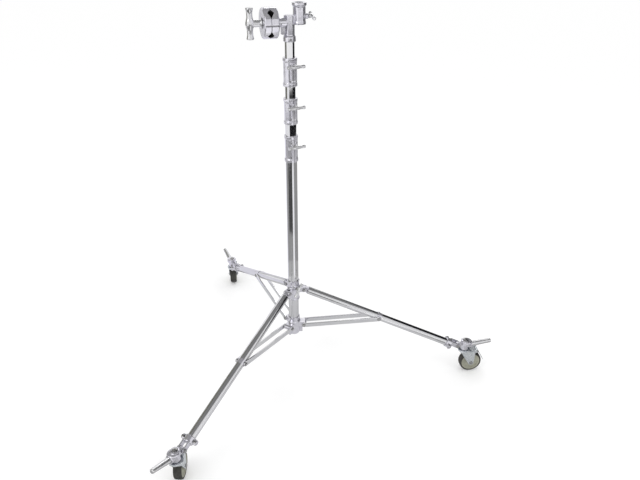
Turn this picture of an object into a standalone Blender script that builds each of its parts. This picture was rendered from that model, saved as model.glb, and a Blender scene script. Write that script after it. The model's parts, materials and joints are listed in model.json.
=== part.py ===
"""Wheeled overhead stand: a triple-riser mast on three folding braced legs with braked casters.

Metres, +Z up. The origin is the point on the floor straight under the mast's axis, and the
right leg points along +X. Each moving piece hangs from an empty that stands on its joint's axis.
"""

import math

import bmesh
import bpy
from mathutils import Matrix, Vector

# --- Driving dimensions -------------------------------------------------------------------
GAP = 0.0003                # between two pieces that touch
RUNNING_GAP = 0.0005        # round a piece that turns or slides
SIDES = 24                  # sides of the mast tubes, collars and wheels
MIDDLE_SIDES = 16           # sides of hubs, sockets and bars
FINE_SIDES = 12             # sides of screws and knobs
BOLT_SIDES = 8
BOLT_FLAT = math.cos(math.pi / BOLT_SIDES)      # a bolt's flats over its corners

LEG_AZIMUTHS = {"right": 0.0, "back": 120.0, "front": 240.0}
CASTER_HEADINGS = {"right": 8.0, "back": 97.0, "front": 90.0}   # where each wheel trails to
CLAMP_AZIMUTH = -61.0       # the clamp screws point between the right and the front leg
RECEIVER_AZIMUTH = 18.5
GRIP_AZIMUTH = RECEIVER_AZIMUTH + 180.0

TUBE_WALL = 0.0011
BASE_RADIUS = 0.02225
RISER_RADII = (0.02065, 0.0190, 0.0175)
MAST_BOTTOM = 0.195
TOP_LIP = 0.012             # each collar's lip above the tube that it is fixed to

# Bottom and top of each clamp collar, lowest first.
COLLAR_SPANS = ((1.019, 1.123), (1.168, 1.265), (1.309, 1.410))
COLLAR_NAMES = ("lower", "middle", "upper")
COLLAR_RIM_RADIUS = 0.0265
COLLAR_WAIST_RADIUS = 0.0240
COLLAR_RIM_HEIGHT = 0.011
KNOB_DROPS = (0.034, 0.026, 0.024)  # of each clamp screw below its collar's top
KNOB_BAR_RADIUS = 0.052     # T-bar's distance from the mast's axis
KNOB_BAR_LENGTH = 0.068

LEG_COLLAR_SPAN = (0.380, 0.475)
SPIDER_RADIUS = 0.0270      # sleeve of the leg collar and of the mast foot
LEG_PIVOT = (0.046, 0.4286)         # radius and height
LEG_KNOB_HEIGHT = 0.446
SADDLE = (0.377, 0.288)             # where the braces meet the leg
BRACE_PIVOT = (0.045, 0.247)
FOOT_SPAN = (0.195, 0.285)
BRACE_OFFSET = 0.0205       # each bar's distance from the leg's plane
BAR_THICKNESS = 0.005
BAR_HEIGHT = 0.020
PIVOT_BOLT_RADIUS = 0.0040
PIVOT_HOLE_RADIUS = (PIVOT_BOLT_RADIUS + GAP) / BOLT_FLAT    # the bolt turns freely in it
EAR_INNER = 0.0085          # inner face of a clevis ear, from the leg's plane
EAR_OUTER = 0.0140

LEG_RADIUS = 0.0165
LEG_WALL = 0.0015
LEG_TUBE_START = 0.020      # along the leg, from its pivot
SOCKET_START = 0.6966
SOCKET_RADIUS = 0.022

HINGE = (0.742, 0.142)      # pivot that keeps the caster upright
STEM_RADIUS = 0.775         # the caster's swivel axis
HUB_SPAN = (0.121, 0.168)
HUB_RADIUS = 0.019
DRUM_SPAN = (0.1435, 0.1655)        # the wide low drum round the hub's outer side
DRUM_RADIUS = 0.0235
DRUM_OFFSET = 0.0085        # of its centre, outward from the swivel axis
FOOT_BAR_TILT = 15.0
FOOT_BAR_HEIGHT = 0.1404    # height of the bar's line at the swivel axis
FOOT_BAR_END = 0.118        # along that line
FOOT_BAR_RADII = (0.0125, 0.0094)   # at its root and at its tip
FOOT_BAR_BOSS_RADIUS = 0.0165

WHEEL_CENTRE = 0.050
WHEEL_RADIUS = WHEEL_CENTRE / math.cos(math.pi / SIDES)     # a flat rests on the floor
WHEEL_HALF_WIDTH = 0.016
CASTER_TRAIL = 0.035
CROWN_TOP = HUB_SPAN[0] - RUNNING_GAP
PEDAL_PIVOT = (0.060, 0.112)        # trail and height
PEDAL_SLOPE = 61.0
PEDAL_PIN_RADIUS = 0.0020

HEAD_SPAN = (1.465, 1.553)
HEAD_RADIUS = 0.0190
GRIP_HEIGHT = 1.529
RECEIVER_OFFSET = 0.036
RECEIVER_SPAN = (1.521, 1.593)
RECEIVER_RADIUS = 0.0223
RECEIVER_RIM_RADIUS = 0.026
RECEIVER_BORE_RADIUS = 0.0143       # takes a 28 mm spigot
RECEIVER_KNOB_HEIGHT = 1.547

DISC_RADIUS = 0.052
BACK_PLATE_SPAN = (0.0450, 0.0722)  # along the grip head's axis, from the mast's axis
FRONT_PLATE_SPAN = (0.0728, 0.0970)
RIM_CHAMFER = 0.0035          # on the outer edge of each plate
PARTING_CHAMFER = 0.0008
JAW_OFFSET = 0.036          # each jaw groove's distance from the head's axis
JAW_SIDE = 0.017            # side of the square hole that two grooves make
HANDLE_BAR_DISTANCE = 0.1385
HANDLE_BAR_LENGTH = 0.104

COLORS = {
    "chrome": ((0.80, 0.80, 0.80), 0.08, 1.0),
    "cast_silver": ((0.62, 0.62, 0.64), 0.35, 1.0),
    "zinc": ((0.55, 0.58, 0.62), 0.38, 1.0),
    "bolt_steel": ((0.50, 0.50, 0.52), 0.30, 1.0),
    "tread": ((0.05, 0.05, 0.045), 0.75, 0.0),
    "wheel": ((0.48, 0.47, 0.40), 0.55, 0.0),
}


# --- Scene, materials and frames ----------------------------------------------------------
def clear_scene():
    for obj in list(bpy.data.objects):
        bpy.data.objects.remove(obj, do_unlink=True)


def new_collection(name):
    collection = bpy.data.collections.new(name)
    bpy.context.scene.collection.children.link(collection)
    return collection


def make_materials():
    materials = {}
    for name, (color, roughness, metallic) in COLORS.items():
        material = bpy.data.materials.new(name)
        material.use_nodes = True
        shader = material.node_tree.nodes["Principled BSDF"]
        shader.inputs["Base Color"].default_value = (*color, 1.0)
        shader.inputs["Roughness"].default_value = roughness
        shader.inputs["Metallic"].default_value = metallic
        materials[name] = material
    return materials


clear_scene()
PARTS = new_collection("overhead_stand")
CUTTERS = new_collection("cutters")
MATERIALS = make_materials()


def frame(name, parent=None, location=(0.0, 0.0, 0.0), turn=None):
    """An empty that carries pieces; turn is (degrees, axis letter)."""
    empty = bpy.data.objects.new(name, None)
    empty.empty_display_size = 0.02
    PARTS.objects.link(empty)
    empty.parent = parent
    empty.location = location
    if turn:
        setattr(empty.rotation_euler, turn[1].lower(), math.radians(turn[0]))
    return empty


def toward(axis):
    """The rotation that lays +Z along an axis, keeping a turned piece's sides level with it."""
    turns = {
        "Z": Matrix.Identity(4),
        "X": Matrix.Rotation(math.radians(90), 4, "Y"),
        "Y": Matrix.Rotation(math.radians(-90), 4, "X"),
    }
    return turns[axis]


# --- Shapes ---------------------------------------------------------------------------------
def add_object(name, mesh, parent, material=None):
    """A visible piece if it has a material, and otherwise a helper for a Boolean."""
    obj = bpy.data.objects.new(name, mesh)
    obj.parent = parent
    if material:
        PARTS.objects.link(obj)
        mesh.materials.append(MATERIALS[material])
        mesh.shade_smooth()
        mesh.set_sharp_from_angle(angle=math.radians(35))
    else:
        CUTTERS.objects.link(obj)
        obj.hide_render = True
        obj.display_type = "WIRE"
    return obj


def mesh_from(build, name):
    """A mesh made by build(bm) on an empty bmesh."""
    bm = bmesh.new()
    build(bm)
    mesh = bpy.data.meshes.new(name)
    bm.to_mesh(mesh)
    bm.free()
    return mesh


def box(name, parent, low, high, material=None, tilt=0.0, pivot=(0.0, 0.0, 0.0)):
    """A block between two corners, turned by tilt degrees about Y at pivot."""
    low, high = Vector(low), Vector(high)
    turn = Matrix.Rotation(math.radians(tilt), 4, "Y")
    place = Matrix.Translation(pivot) @ turn @ Matrix.Translation(-Vector(pivot))
    size = Matrix.Diagonal((*(high - low), 1.0))
    matrix = place @ Matrix.Translation((low + high) / 2) @ size
    mesh = mesh_from(lambda bm: bmesh.ops.create_cube(bm, size=1.0, matrix=matrix), name)
    return add_object(name, mesh, parent, material)


def rod(name, parent, radius, start, end, axis="Z", centre=(0.0, 0.0), material=None,
        sides=FINE_SIDES, end_radius=None, tilt=0.0, pivot=(0.0, 0.0, 0.0)):
    """A cylinder or cone along an axis, from start to end; centre gives its other two places."""
    spots = {"X": lambda s: (s, *centre), "Y": lambda s: (centre[0], s, centre[1]),
             "Z": lambda s: (*centre, s)}
    middle = Vector(spots[axis]((start + end) / 2))
    turn = Matrix.Rotation(math.radians(tilt), 4, "Y")
    place = Matrix.Translation(pivot) @ turn @ Matrix.Translation(-Vector(pivot))
    matrix = place @ Matrix.Translation(middle) @ toward(axis)
    top = radius if end_radius is None else end_radius
    mesh = mesh_from(
        lambda bm: bmesh.ops.create_cone(
            bm, cap_ends=True, segments=sides, radius1=radius, radius2=top,
            depth=end - start, matrix=matrix,
        ),
        name,
    )
    return add_object(name, mesh, parent, material)


def turned(name, parent, profile, axis="Z", centre=(0.0, 0.0, 0.0), material=None,
           sides=SIDES, phase=0.0):
    """A profile of (radius, height) points, outer side first from the top, spun round an axis.

    A profile that starts off the axis is a closed ring.
    """
    closed = profile[0][0] > 0
    mesh = bpy.data.meshes.new(name)
    count = len(profile)
    edges = [(i, i + 1) for i in range(count - 1)]
    if closed:
        edges.append((count - 1, 0))
    mesh.from_pydata([(r, 0.0, z) for r, z in profile], edges, [])
    obj = add_object(name, mesh, parent, material)
    spin = obj.modifiers.new("spin", "SCREW")
    spin.axis = "Z"
    spin.steps = sides
    spin.render_steps = sides
    spin.use_merge_vertices = True
    spin.merge_threshold = 0.00001
    spin.use_smooth_shade = True
    turn = Matrix.Rotation(math.radians(phase), 4, "Z")
    obj.matrix_local = Matrix.Translation(centre) @ toward(axis) @ turn
    return obj


def combine(target, operation, others):
    for other in others:
        step = target.modifiers.new(operation.lower(), "BOOLEAN")
        step.operation = operation
        step.object = other
        step.solver = "EXACT"
    return target


def join(target, *others):
    return combine(target, "UNION", others)


def cut(target, *others):
    return combine(target, "DIFFERENCE", others)


def arc(centre, radius, start, end, steps=6):
    """Points along an arc in the XZ plane, with angles in degrees from +X towards +Z."""
    spots = []
    for step in range(steps + 1):
        angle = math.radians(start + (end - start) * step / steps)
        spots.append((centre[0] + radius * math.cos(angle),
                      centre[1] + radius * math.sin(angle)))
    return spots


def ear_outline(start, low, high, centre, radius):
    """A plate from start, along +X, that ends in a round nose about centre."""
    return [(start, low), *arc(centre, radius, -90, 90), (start, high)]


def plate(name, parent, outline, near, far, material=None):
    """A flat outline in the XZ plane, given thickness from Y near to Y far."""
    def build(bm):
        verts = [bm.verts.new((x, near, z)) for x, z in outline]
        face = bm.faces.new(verts)
        moved = bmesh.ops.extrude_face_region(bm, geom=[face])
        corners = [item for item in moved["geom"] if isinstance(item, bmesh.types.BMVert)]
        bmesh.ops.translate(bm, verts=corners, vec=(0.0, far - near, 0.0))
        bmesh.ops.recalc_face_normals(bm, faces=bm.faces)
    return add_object(name, mesh_from(build, name), parent, material)


def tube_profile(radius, wall, bottom, top):
    inner = radius - wall
    return [(radius, top), (radius, bottom), (inner, bottom), (inner, top)]


# --- T-shaped clamp screws ------------------------------------------------------------------
def t_knob(name, parent, tip, bar_distance, bar_length, bar_angle, screw_radius=0.0040):
    """A clamp screw along +X from tip, with a flared cross bar; its own frame turns with it."""
    turning = frame(name + "_frame", parent, turn=(bar_angle, "X"))
    half = bar_length / 2
    flare = [
        (0.0, half), (0.0068, half), (0.0050, half * 0.55), (0.0066, half * 0.22),
        (0.0066, -half * 0.22), (0.0050, -half * 0.55), (0.0068, -half), (0.0, -half),
    ]
    piece = turned(name, turning, flare, axis="Y", centre=(bar_distance, 0.0, 0.0),
                   material="chrome", sides=FINE_SIDES)
    screw = rod(name + "_screw", turning, screw_radius, tip, bar_distance, axis="X")
    hub = rod(name + "_hub", turning, 0.0072, bar_distance - 0.013, bar_distance, axis="X")
    return join(piece, screw, hub)


# --- Mast -----------------------------------------------------------------------------------
def clamp_collar(name, parent, bottom, top, lower_radius, riser_radius, screw_height):
    """A split clamp fixed on one tube, gripping the riser that slides out of it."""
    rim, waist, band = COLLAR_RIM_RADIUS, COLLAR_WAIST_RADIUS, COLLAR_RIM_HEIGHT
    profile = [
        (0.0, top), (rim, top), (rim, top - band), (waist, top - band - 0.0025),
        (waist, bottom + band + 0.0025), (rim, bottom + band), (rim, bottom), (0.0, bottom),
    ]
    collar = turned(name, parent, profile, material="cast_silver")
    clamp = frame(name + "_clamp", parent, turn=(CLAMP_AZIMUTH, "Z"))
    rib = box(name + "_rib", clamp, (0.0150, -0.009, bottom + 0.010),
              (0.0310, 0.009, top - 0.013))
    boss = rod(name + "_boss", clamp, 0.0105, 0.0150, 0.0360, axis="X",
               centre=(0.0, screw_height))
    bore = rod(name + "_bore", parent, lower_radius + GAP, bottom - 0.01,
               top - TOP_LIP + GAP, sides=SIDES)
    throat = rod(name + "_throat", parent, riser_radius + RUNNING_GAP, bottom - 0.01,
                 top + 0.01, sides=SIDES)
    hole = rod(name + "_hole", clamp, 0.0045, 0.0100, 0.0400, axis="X",
               centre=(0.0, screw_height))
    return cut(join(collar, rib, boss), bore, throat, hole)


def mast_section(name, parent, radius, bottom, top):
    return turned(name, parent, tube_profile(radius, TUBE_WALL, bottom, top),
                  material="chrome")


def make_mast():
    mast = frame("mast_frame")
    radii = (BASE_RADIUS, *RISER_RADII)
    tops = [span[1] - TOP_LIP for span in COLLAR_SPANS] + [HEAD_SPAN[0] + 0.050]
    mast_section("base_tube", mast, BASE_RADIUS, MAST_BOTTOM + 0.0035, tops[0])
    carriers = [mast]
    for number in (1, 2, 3):
        riser = frame(f"riser_{number}_frame", carriers[-1])
        mast_section(f"riser_tube_{number}", riser, radii[number],
                     MAST_BOTTOM + 0.010 + 0.020 * number, tops[number])
        carriers.append(riser)
    for index, (bottom, top) in enumerate(COLLAR_SPANS):
        label = COLLAR_NAMES[index]
        screw_height = top - KNOB_DROPS[index]
        clamp_collar(f"clamp_collar_{label}", carriers[index], bottom, top,
                     radii[index], radii[index + 1], screw_height)
        knob = frame(f"clamp_knob_{label}_axis", carriers[index],
                     (0.0, 0.0, screw_height), (CLAMP_AZIMUTH, "Z"))
        t_knob(f"clamp_knob_{label}", knob, radii[index] + 2 * GAP, KNOB_BAR_RADIUS,
               KNOB_BAR_LENGTH, 0.0)
    return mast, carriers[-1]


# --- Leg collar and mast foot ---------------------------------------------------------------
def bolt(name, parent, half_length, centre, axis="Y", material=None,
         radius=PIVOT_BOLT_RADIUS, head_radius=0.0070, head_height=0.0045):
    """A bolt with a head at each end, centred between them."""
    end = half_length + head_height
    profile = [(0.0, end), (head_radius, end), (head_radius, half_length),
               (radius, half_length), (radius, -half_length), (head_radius, -half_length),
               (head_radius, -end), (0.0, -end)]
    return turned(name, parent, profile, axis=axis, centre=centre, material=material,
                  sides=BOLT_SIDES)


def make_leg_collar(mast):
    """The sliding casting that the legs turn on, with a pin for each and a clamp screw."""
    collar_frame = frame("leg_collar_frame", mast)
    bottom, top = LEG_COLLAR_SPAN
    radius, height = LEG_PIVOT
    profile = [(0.0, top), (SPIDER_RADIUS, top), (SPIDER_RADIUS, bottom), (0.0, bottom)]
    collar = turned("leg_collar", collar_frame, profile, material="cast_silver")
    outline = ear_outline(0.0150, height - 0.0115, height + 0.0115, LEG_PIVOT, 0.0115)
    for label, azimuth in LEG_AZIMUTHS.items():
        leg = frame(f"ears_{label}", collar_frame, turn=(azimuth, "Z"))
        for side in (-1, 1):
            near, far = sorted((side * EAR_INNER, side * EAR_OUTER))
            join(collar, plate(f"ear_{label}_{side}", leg, outline, near, far))
        pin = bolt(f"ear_pin_{label}", leg, EAR_OUTER - GAP, (radius, 0.0, height))
        join(collar, pin)
    clamp = frame("leg_collar_clamp", collar_frame, turn=(CLAMP_AZIMUTH, "Z"))
    boss = rod("leg_collar_boss", clamp, 0.0130, 0.0150, 0.0360, axis="X",
               centre=(0.0, LEG_KNOB_HEIGHT))
    bore = rod("leg_collar_bore", collar_frame, BASE_RADIUS + RUNNING_GAP, bottom - 0.01,
               top + 0.01, sides=SIDES)
    hole = rod("leg_collar_hole", clamp, 0.0045, 0.0100, 0.0400, axis="X",
               centre=(0.0, LEG_KNOB_HEIGHT))
    cut(join(collar, boss), bore, hole)
    knob = frame("leg_collar_knob_axis", collar_frame, (0.0, 0.0, LEG_KNOB_HEIGHT),
                 (CLAMP_AZIMUTH, "Z"))
    t_knob("leg_collar_knob", knob, BASE_RADIUS + 2 * GAP, KNOB_BAR_RADIUS,
           KNOB_BAR_LENGTH, 60.0)
    return collar_frame


def make_mast_foot(mast):
    """The closed casting at the mast's foot, with a lug and a pin for each pair of braces."""
    bottom, top = FOOT_SPAN
    radius, height = BRACE_PIVOT
    half = BRACE_OFFSET - BAR_THICKNESS / 2 - GAP
    profile = [(0.0, top), (SPIDER_RADIUS, top), (SPIDER_RADIUS, bottom + 0.004),
               (SPIDER_RADIUS - 0.004, bottom), (0.0, bottom)]
    foot = turned("mast_foot", mast, profile, material="cast_silver")
    outline = ear_outline(0.010, height - 0.012, height + 0.012, BRACE_PIVOT, 0.012)
    for label, azimuth in LEG_AZIMUTHS.items():
        leg = frame(f"lug_{label}", mast, turn=(azimuth, "Z"))
        lug = plate(f"lug_plate_{label}", leg, outline, -half, half)
        pin = bolt(f"lug_pin_{label}", leg, BRACE_OFFSET + BAR_THICKNESS / 2 + GAP,
                   (radius, 0.0, height))
        join(foot, lug, pin)
    cut(foot, rod("foot_bore", mast, BASE_RADIUS + GAP, bottom + 0.003, top + 0.01,
                  sides=SIDES))


# --- Legs -----------------------------------------------------------------------------------
def leg_slope():
    """The leg's slope below level, in degrees, from its pivot to the saddle."""
    return math.degrees(math.atan2(LEG_PIVOT[1] - SADDLE[1], SADDLE[0] - LEG_PIVOT[0]))


def along_leg(radius, height):
    """A place in the leg's plane, as (distance along the leg, distance above its axis)."""
    slope = math.radians(leg_slope())
    out, down = radius - LEG_PIVOT[0], LEG_PIVOT[1] - height
    return (out * math.cos(slope) + down * math.sin(slope),
            out * math.sin(slope) - down * math.cos(slope))


def make_leg_tube(label, leg):
    """The tube with the forged eye that it turns on, and the bracket that the braces hold."""
    tube_end = SOCKET_START + 0.0235
    length = tube_end - LEG_TUBE_START
    tube = turned(f"leg_tube_{label}", leg, tube_profile(LEG_RADIUS, LEG_WALL, 0.0, length),
                  axis="X", centre=(LEG_TUBE_START, 0.0, 0.0), material="chrome")
    half = EAR_INNER - GAP
    round_end = arc((0.0, 0.0), 0.0110, 90, 270)
    inside = LEG_TUBE_START + 0.006
    tongue = plate(f"eye_plate_{label}", leg,
                   [*round_end, (inside, -0.0110), (inside, 0.0110)], -half, half)
    plug = rod(f"eye_plug_{label}", leg, LEG_RADIUS - LEG_WALL / 2, LEG_TUBE_START + 0.001,
               LEG_TUBE_START + 0.032, axis="X", sides=SIDES)
    hole = rod(f"eye_hole_{label}", leg, PIVOT_HOLE_RADIUS, -0.02, 0.02, axis="Y",
               sides=BOLT_SIDES)
    cut(join(tube, plug, tongue), hole)
    reach = along_leg(*SADDLE)[0]
    inner = LEG_RADIUS + GAP
    outer = BRACE_OFFSET - BAR_THICKNESS / 2 - GAP
    turned(f"leg_saddle_{label}", leg, tube_profile(outer, outer - inner, -0.011, 0.011),
           axis="X", centre=(reach, 0.0, 0.0), material="cast_silver")


def make_foot_socket(label, leg):
    """The clamp on the leg's outer end, with the two ears that the caster's yoke turns in."""
    hinge_x, hinge_z = along_leg(*HINGE)
    socket_end = hinge_x - 0.030
    socket = rod(f"foot_socket_{label}", leg, SOCKET_RADIUS, SOCKET_START, socket_end,
                 axis="X", material="cast_silver", sides=MIDDLE_SIDES)
    flange = box(f"socket_flange_{label}", leg, (SOCKET_START + 0.002, -0.036, -0.0065),
                 (socket_end - 0.004, 0.036, 0.0065))
    join(socket, flange)
    for side in (-1, 1):
        near, far = sorted((side * (EAR_INNER + 0.001), side * (EAR_OUTER + 0.0015)))
        outline = ear_outline(socket_end - 0.005, hinge_z - 0.011, hinge_z + 0.011,
                              (hinge_x, hinge_z), 0.011)
        join(socket, plate(f"socket_ear_{label}_{side}", leg, outline, near, far))
        clamp_bolt = bolt(f"flange_bolt_{label}_{side}", leg, 0.0060,
                          (SOCKET_START + 0.0125, side * 0.029, 0.0), axis="Z",
                          head_radius=0.0062)
        join(socket, clamp_bolt)
    bore = rod(f"socket_bore_{label}", leg, LEG_RADIUS + GAP, SOCKET_START - 0.01,
               SOCKET_START + 0.0238, axis="X", sides=SIDES)
    hinge_hole = rod(f"socket_hinge_hole_{label}", leg, PIVOT_HOLE_RADIUS, -0.03, 0.03,
                     axis="Y", centre=(hinge_x, hinge_z), sides=BOLT_SIDES)
    cut(socket, bore, hinge_hole)
    bolt(f"foot_hinge_bolt_{label}", leg, EAR_OUTER + 0.0015 + GAP, (hinge_x, 0.0, hinge_z),
         material="bolt_steel", head_radius=0.0085)


def make_braces(label, radial):
    """The two flat bars that hold a leg, turning on the mast foot's pin."""
    radius, height = BRACE_PIVOT
    rise = math.degrees(math.atan2(SADDLE[1] - height, SADDLE[0] - radius))
    length = math.hypot(SADDLE[1] - height, SADDLE[0] - radius)
    brace = frame(f"brace_{label}_axis", radial, (radius, 0.0, height), (-rise, "Y"))
    end_radius = BAR_HEIGHT / 2
    outline = arc((0.0, 0.0), end_radius, 90, 270) + arc((length, 0.0), end_radius, -90, 90)
    for number, side in ((1, -1), (2, 1)):
        near = side * BRACE_OFFSET - BAR_THICKNESS / 2
        far = near + BAR_THICKNESS
        bar = plate(f"brace_bar_{label}_{number}", brace, outline, near, far, "chrome")
        face = side * (BRACE_OFFSET + BAR_THICKNESS / 2)
        low, high = sorted((face - side * 0.002, face + side * 0.005))
        stud = rod(f"bar_stud_{label}_{number}", brace, 0.0065, low, high, axis="Y",
                   centre=(length, 0.0), sides=BOLT_SIDES)
        eye = rod(f"bar_eye_{label}_{number}", brace, PIVOT_HOLE_RADIUS, -0.04, 0.04,
                  axis="Y", sides=BOLT_SIDES)
        cut(join(bar, stud), eye)


# --- Casters --------------------------------------------------------------------------------
def make_yoke(label, radial):
    """The casting that stands the caster upright on the leg's end, and its foot bar."""
    yoke_frame = frame(f"caster_yoke_{label}_axis", radial, (HINGE[0], 0.0, HINGE[1]))
    stem = STEM_RADIUS - HINGE[0]
    low, high = HUB_SPAN[0] - HINGE[1], HUB_SPAN[1] - HINGE[1]
    bar_height = FOOT_BAR_HEIGHT - HINGE[1]
    pivot = (stem, 0.0, bar_height)
    half = EAR_INNER - GAP
    yoke = turned(
        f"caster_yoke_{label}", yoke_frame,
        [(0.0, high + 0.006), (0.010, high + 0.006), (0.011, high), (HUB_RADIUS, high - 0.001),
         (HUB_RADIUS, low), (0.0, low)],
        centre=(stem, 0.0, 0.0), material="cast_silver", sides=MIDDLE_SIDES,
    )
    round_end = arc((0.0, 0.0), 0.0105, 90, 270)
    tongue = plate(f"yoke_tongue_{label}", yoke_frame,
                   [*round_end, (stem, -0.0105), (stem, 0.0105)], -half, half)
    drum = rod(f"yoke_drum_{label}", yoke_frame, DRUM_RADIUS, DRUM_SPAN[0] - HINGE[1],
               DRUM_SPAN[1] - HINGE[1], centre=(stem + DRUM_OFFSET, 0.0), sides=SIDES)
    boss = rod(f"yoke_boss_{label}", yoke_frame, FOOT_BAR_BOSS_RADIUS, stem, stem + 0.034,
               axis="X", centre=(0.0, bar_height), sides=MIDDLE_SIDES, tilt=-FOOT_BAR_TILT,
               pivot=pivot)
    join(yoke, tongue, drum, boss)
    hinge_hole = rod(f"yoke_hinge_hole_{label}", yoke_frame, PIVOT_HOLE_RADIUS,
                     -0.02, 0.02, axis="Y", sides=BOLT_SIDES)
    bar_hole = rod(f"yoke_bar_hole_{label}", yoke_frame, FOOT_BAR_RADII[0] + GAP, stem + 0.0195,
                   stem + 0.060, axis="X", centre=(0.0, bar_height), sides=MIDDLE_SIDES,
                   tilt=-FOOT_BAR_TILT, pivot=pivot)
    stem_hole = rod(f"yoke_stem_hole_{label}", yoke_frame, 0.0060 + RUNNING_GAP, low - 0.01,
                    low + 0.040, centre=(stem, 0.0))
    cut(yoke, hinge_hole, bar_hole, stem_hole)
    rod(f"foot_bar_{label}", yoke_frame, FOOT_BAR_RADII[0], stem + 0.0200,
        stem + FOOT_BAR_END, axis="X", centre=(0.0, bar_height), material="chrome",
        sides=MIDDLE_SIDES, end_radius=FOOT_BAR_RADII[1], tilt=-FOOT_BAR_TILT, pivot=pivot)
    return yoke_frame, stem


def make_fork(label, caster):
    """The swivelling fork with its kingpin, and the ears and pin of the brake pedal."""
    crown_low = CROWN_TOP - 0.007
    plate_low = crown_low - 0.005
    fork = turned(f"caster_fork_{label}", caster,
                  [(0.0, CROWN_TOP), (0.028, CROWN_TOP), (0.028, crown_low - 0.001),
                   (0.0, crown_low - 0.001)],
                  material="zinc", sides=MIDDLE_SIDES)
    kingpin = rod(f"fork_kingpin_{label}", caster, 0.0060, crown_low, CROWN_TOP + 0.038)
    bridge = box(f"fork_bridge_{label}", caster, (-0.020, -0.0215, plate_low),
                 (0.056, 0.0215, crown_low))
    join(fork, kingpin, bridge)
    axle = (CASTER_TRAIL, WHEEL_CENTRE)
    cheek = [(-0.015, plate_low + 0.001), *arc(axle, 0.013, 180, 360),
             (0.050, plate_low + 0.001)]
    for side in (-1, 1):
        near, far = sorted((side * 0.0185, side * 0.0215))
        join(fork, plate(f"fork_cheek_{label}_{side}", caster, cheek, near, far))
        near, far = sorted((side * 0.0157, side * 0.0213))
        ear = box(f"pedal_ear_{label}_{side}", caster, (0.050, near, 0.1060),
                  (0.0645, far, 0.1170))
        join(fork, ear)
    notch = box(f"pedal_notch_{label}", caster, (0.0552, -0.0153, 0.1), (0.07, 0.0153, 0.13))
    axle_hole = rod(f"fork_axle_hole_{label}", caster, PIVOT_HOLE_RADIUS, -0.03, 0.03,
                    axis="Y", centre=(CASTER_TRAIL, WHEEL_CENTRE), sides=BOLT_SIDES)
    cut(fork, notch, axle_hole)
    pin = bolt(f"pedal_pin_{label}", caster, 0.0213, (PEDAL_PIVOT[0], 0.0, PEDAL_PIVOT[1]),
               radius=PEDAL_PIN_RADIUS, head_radius=0.0038, head_height=0.0015)
    join(fork, pin)


def make_wheel(label, caster):
    """The tyre and hub, and the axle that holds them in the fork."""
    wheel = frame(f"wheel_{label}_axis", caster, (CASTER_TRAIL, 0.0, WHEEL_CENTRE))
    flat = 180.0 / SIDES
    half, seat = WHEEL_HALF_WIDTH, 0.0425
    tyre = [(WHEEL_RADIUS - 0.003, half), (WHEEL_RADIUS, half - 0.005),
            (WHEEL_RADIUS, -half + 0.005), (WHEEL_RADIUS - 0.003, -half),
            (seat + GAP, -half), (seat + GAP, half)]
    turned(f"caster_tyre_{label}", wheel, tyre, axis="Y", material="tread", phase=flat)
    bore = PIVOT_HOLE_RADIUS
    upper = [(bore, half + 0.001), (0.014, half + 0.001), (0.020, half - 0.003),
             (seat, half - 0.0005)]
    lower = [(radius, -height) for radius, height in reversed(upper)]
    turned(f"caster_hub_{label}", wheel, upper + lower, axis="Y", material="wheel",
           phase=flat)
    bolt(f"caster_axle_{label}", caster, 0.0215 + GAP, (CASTER_TRAIL, 0.0, WHEEL_CENTRE),
         material="bolt_steel")


def make_pedal(label, caster):
    """The brake pedal, pressed down in its locked place."""
    pedal_frame = frame(f"brake_pedal_{label}_axis", caster,
                        (PEDAL_PIVOT[0], 0.0, PEDAL_PIVOT[1]))
    pedal = rod(f"brake_pedal_{label}", pedal_frame, 0.0042, -0.0148, 0.0148, axis="Y",
                material="zinc")
    tread = box(f"pedal_tread_{label}", pedal_frame, (0.0, -0.0148, 0.0015),
                (0.064, 0.0148, 0.0042), tilt=PEDAL_SLOPE)
    hole = rod(f"pedal_hole_{label}", pedal_frame, (PEDAL_PIN_RADIUS + GAP) / BOLT_FLAT,
               -0.03, 0.03, axis="Y", sides=BOLT_SIDES)
    cut(join(pedal, tread), hole)


def make_leg(label, azimuth, mast, collar_frame):
    radial = frame(f"radial_{label}", mast, turn=(azimuth, "Z"))
    on_collar = frame(f"radial_collar_{label}", collar_frame, turn=(azimuth, "Z"))
    leg = frame(f"leg_{label}_axis", on_collar, (LEG_PIVOT[0], 0.0, LEG_PIVOT[1]),
                (leg_slope(), "Y"))
    make_leg_tube(label, leg)
    make_foot_socket(label, leg)
    make_braces(label, radial)
    yoke_frame, stem = make_yoke(label, radial)
    heading = CASTER_HEADINGS[label] - azimuth
    caster = frame(f"caster_{label}_axis", yoke_frame, (stem, 0.0, -HINGE[1]), (heading, "Z"))
    make_fork(label, caster)
    make_wheel(label, caster)
    make_pedal(label, caster)


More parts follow.
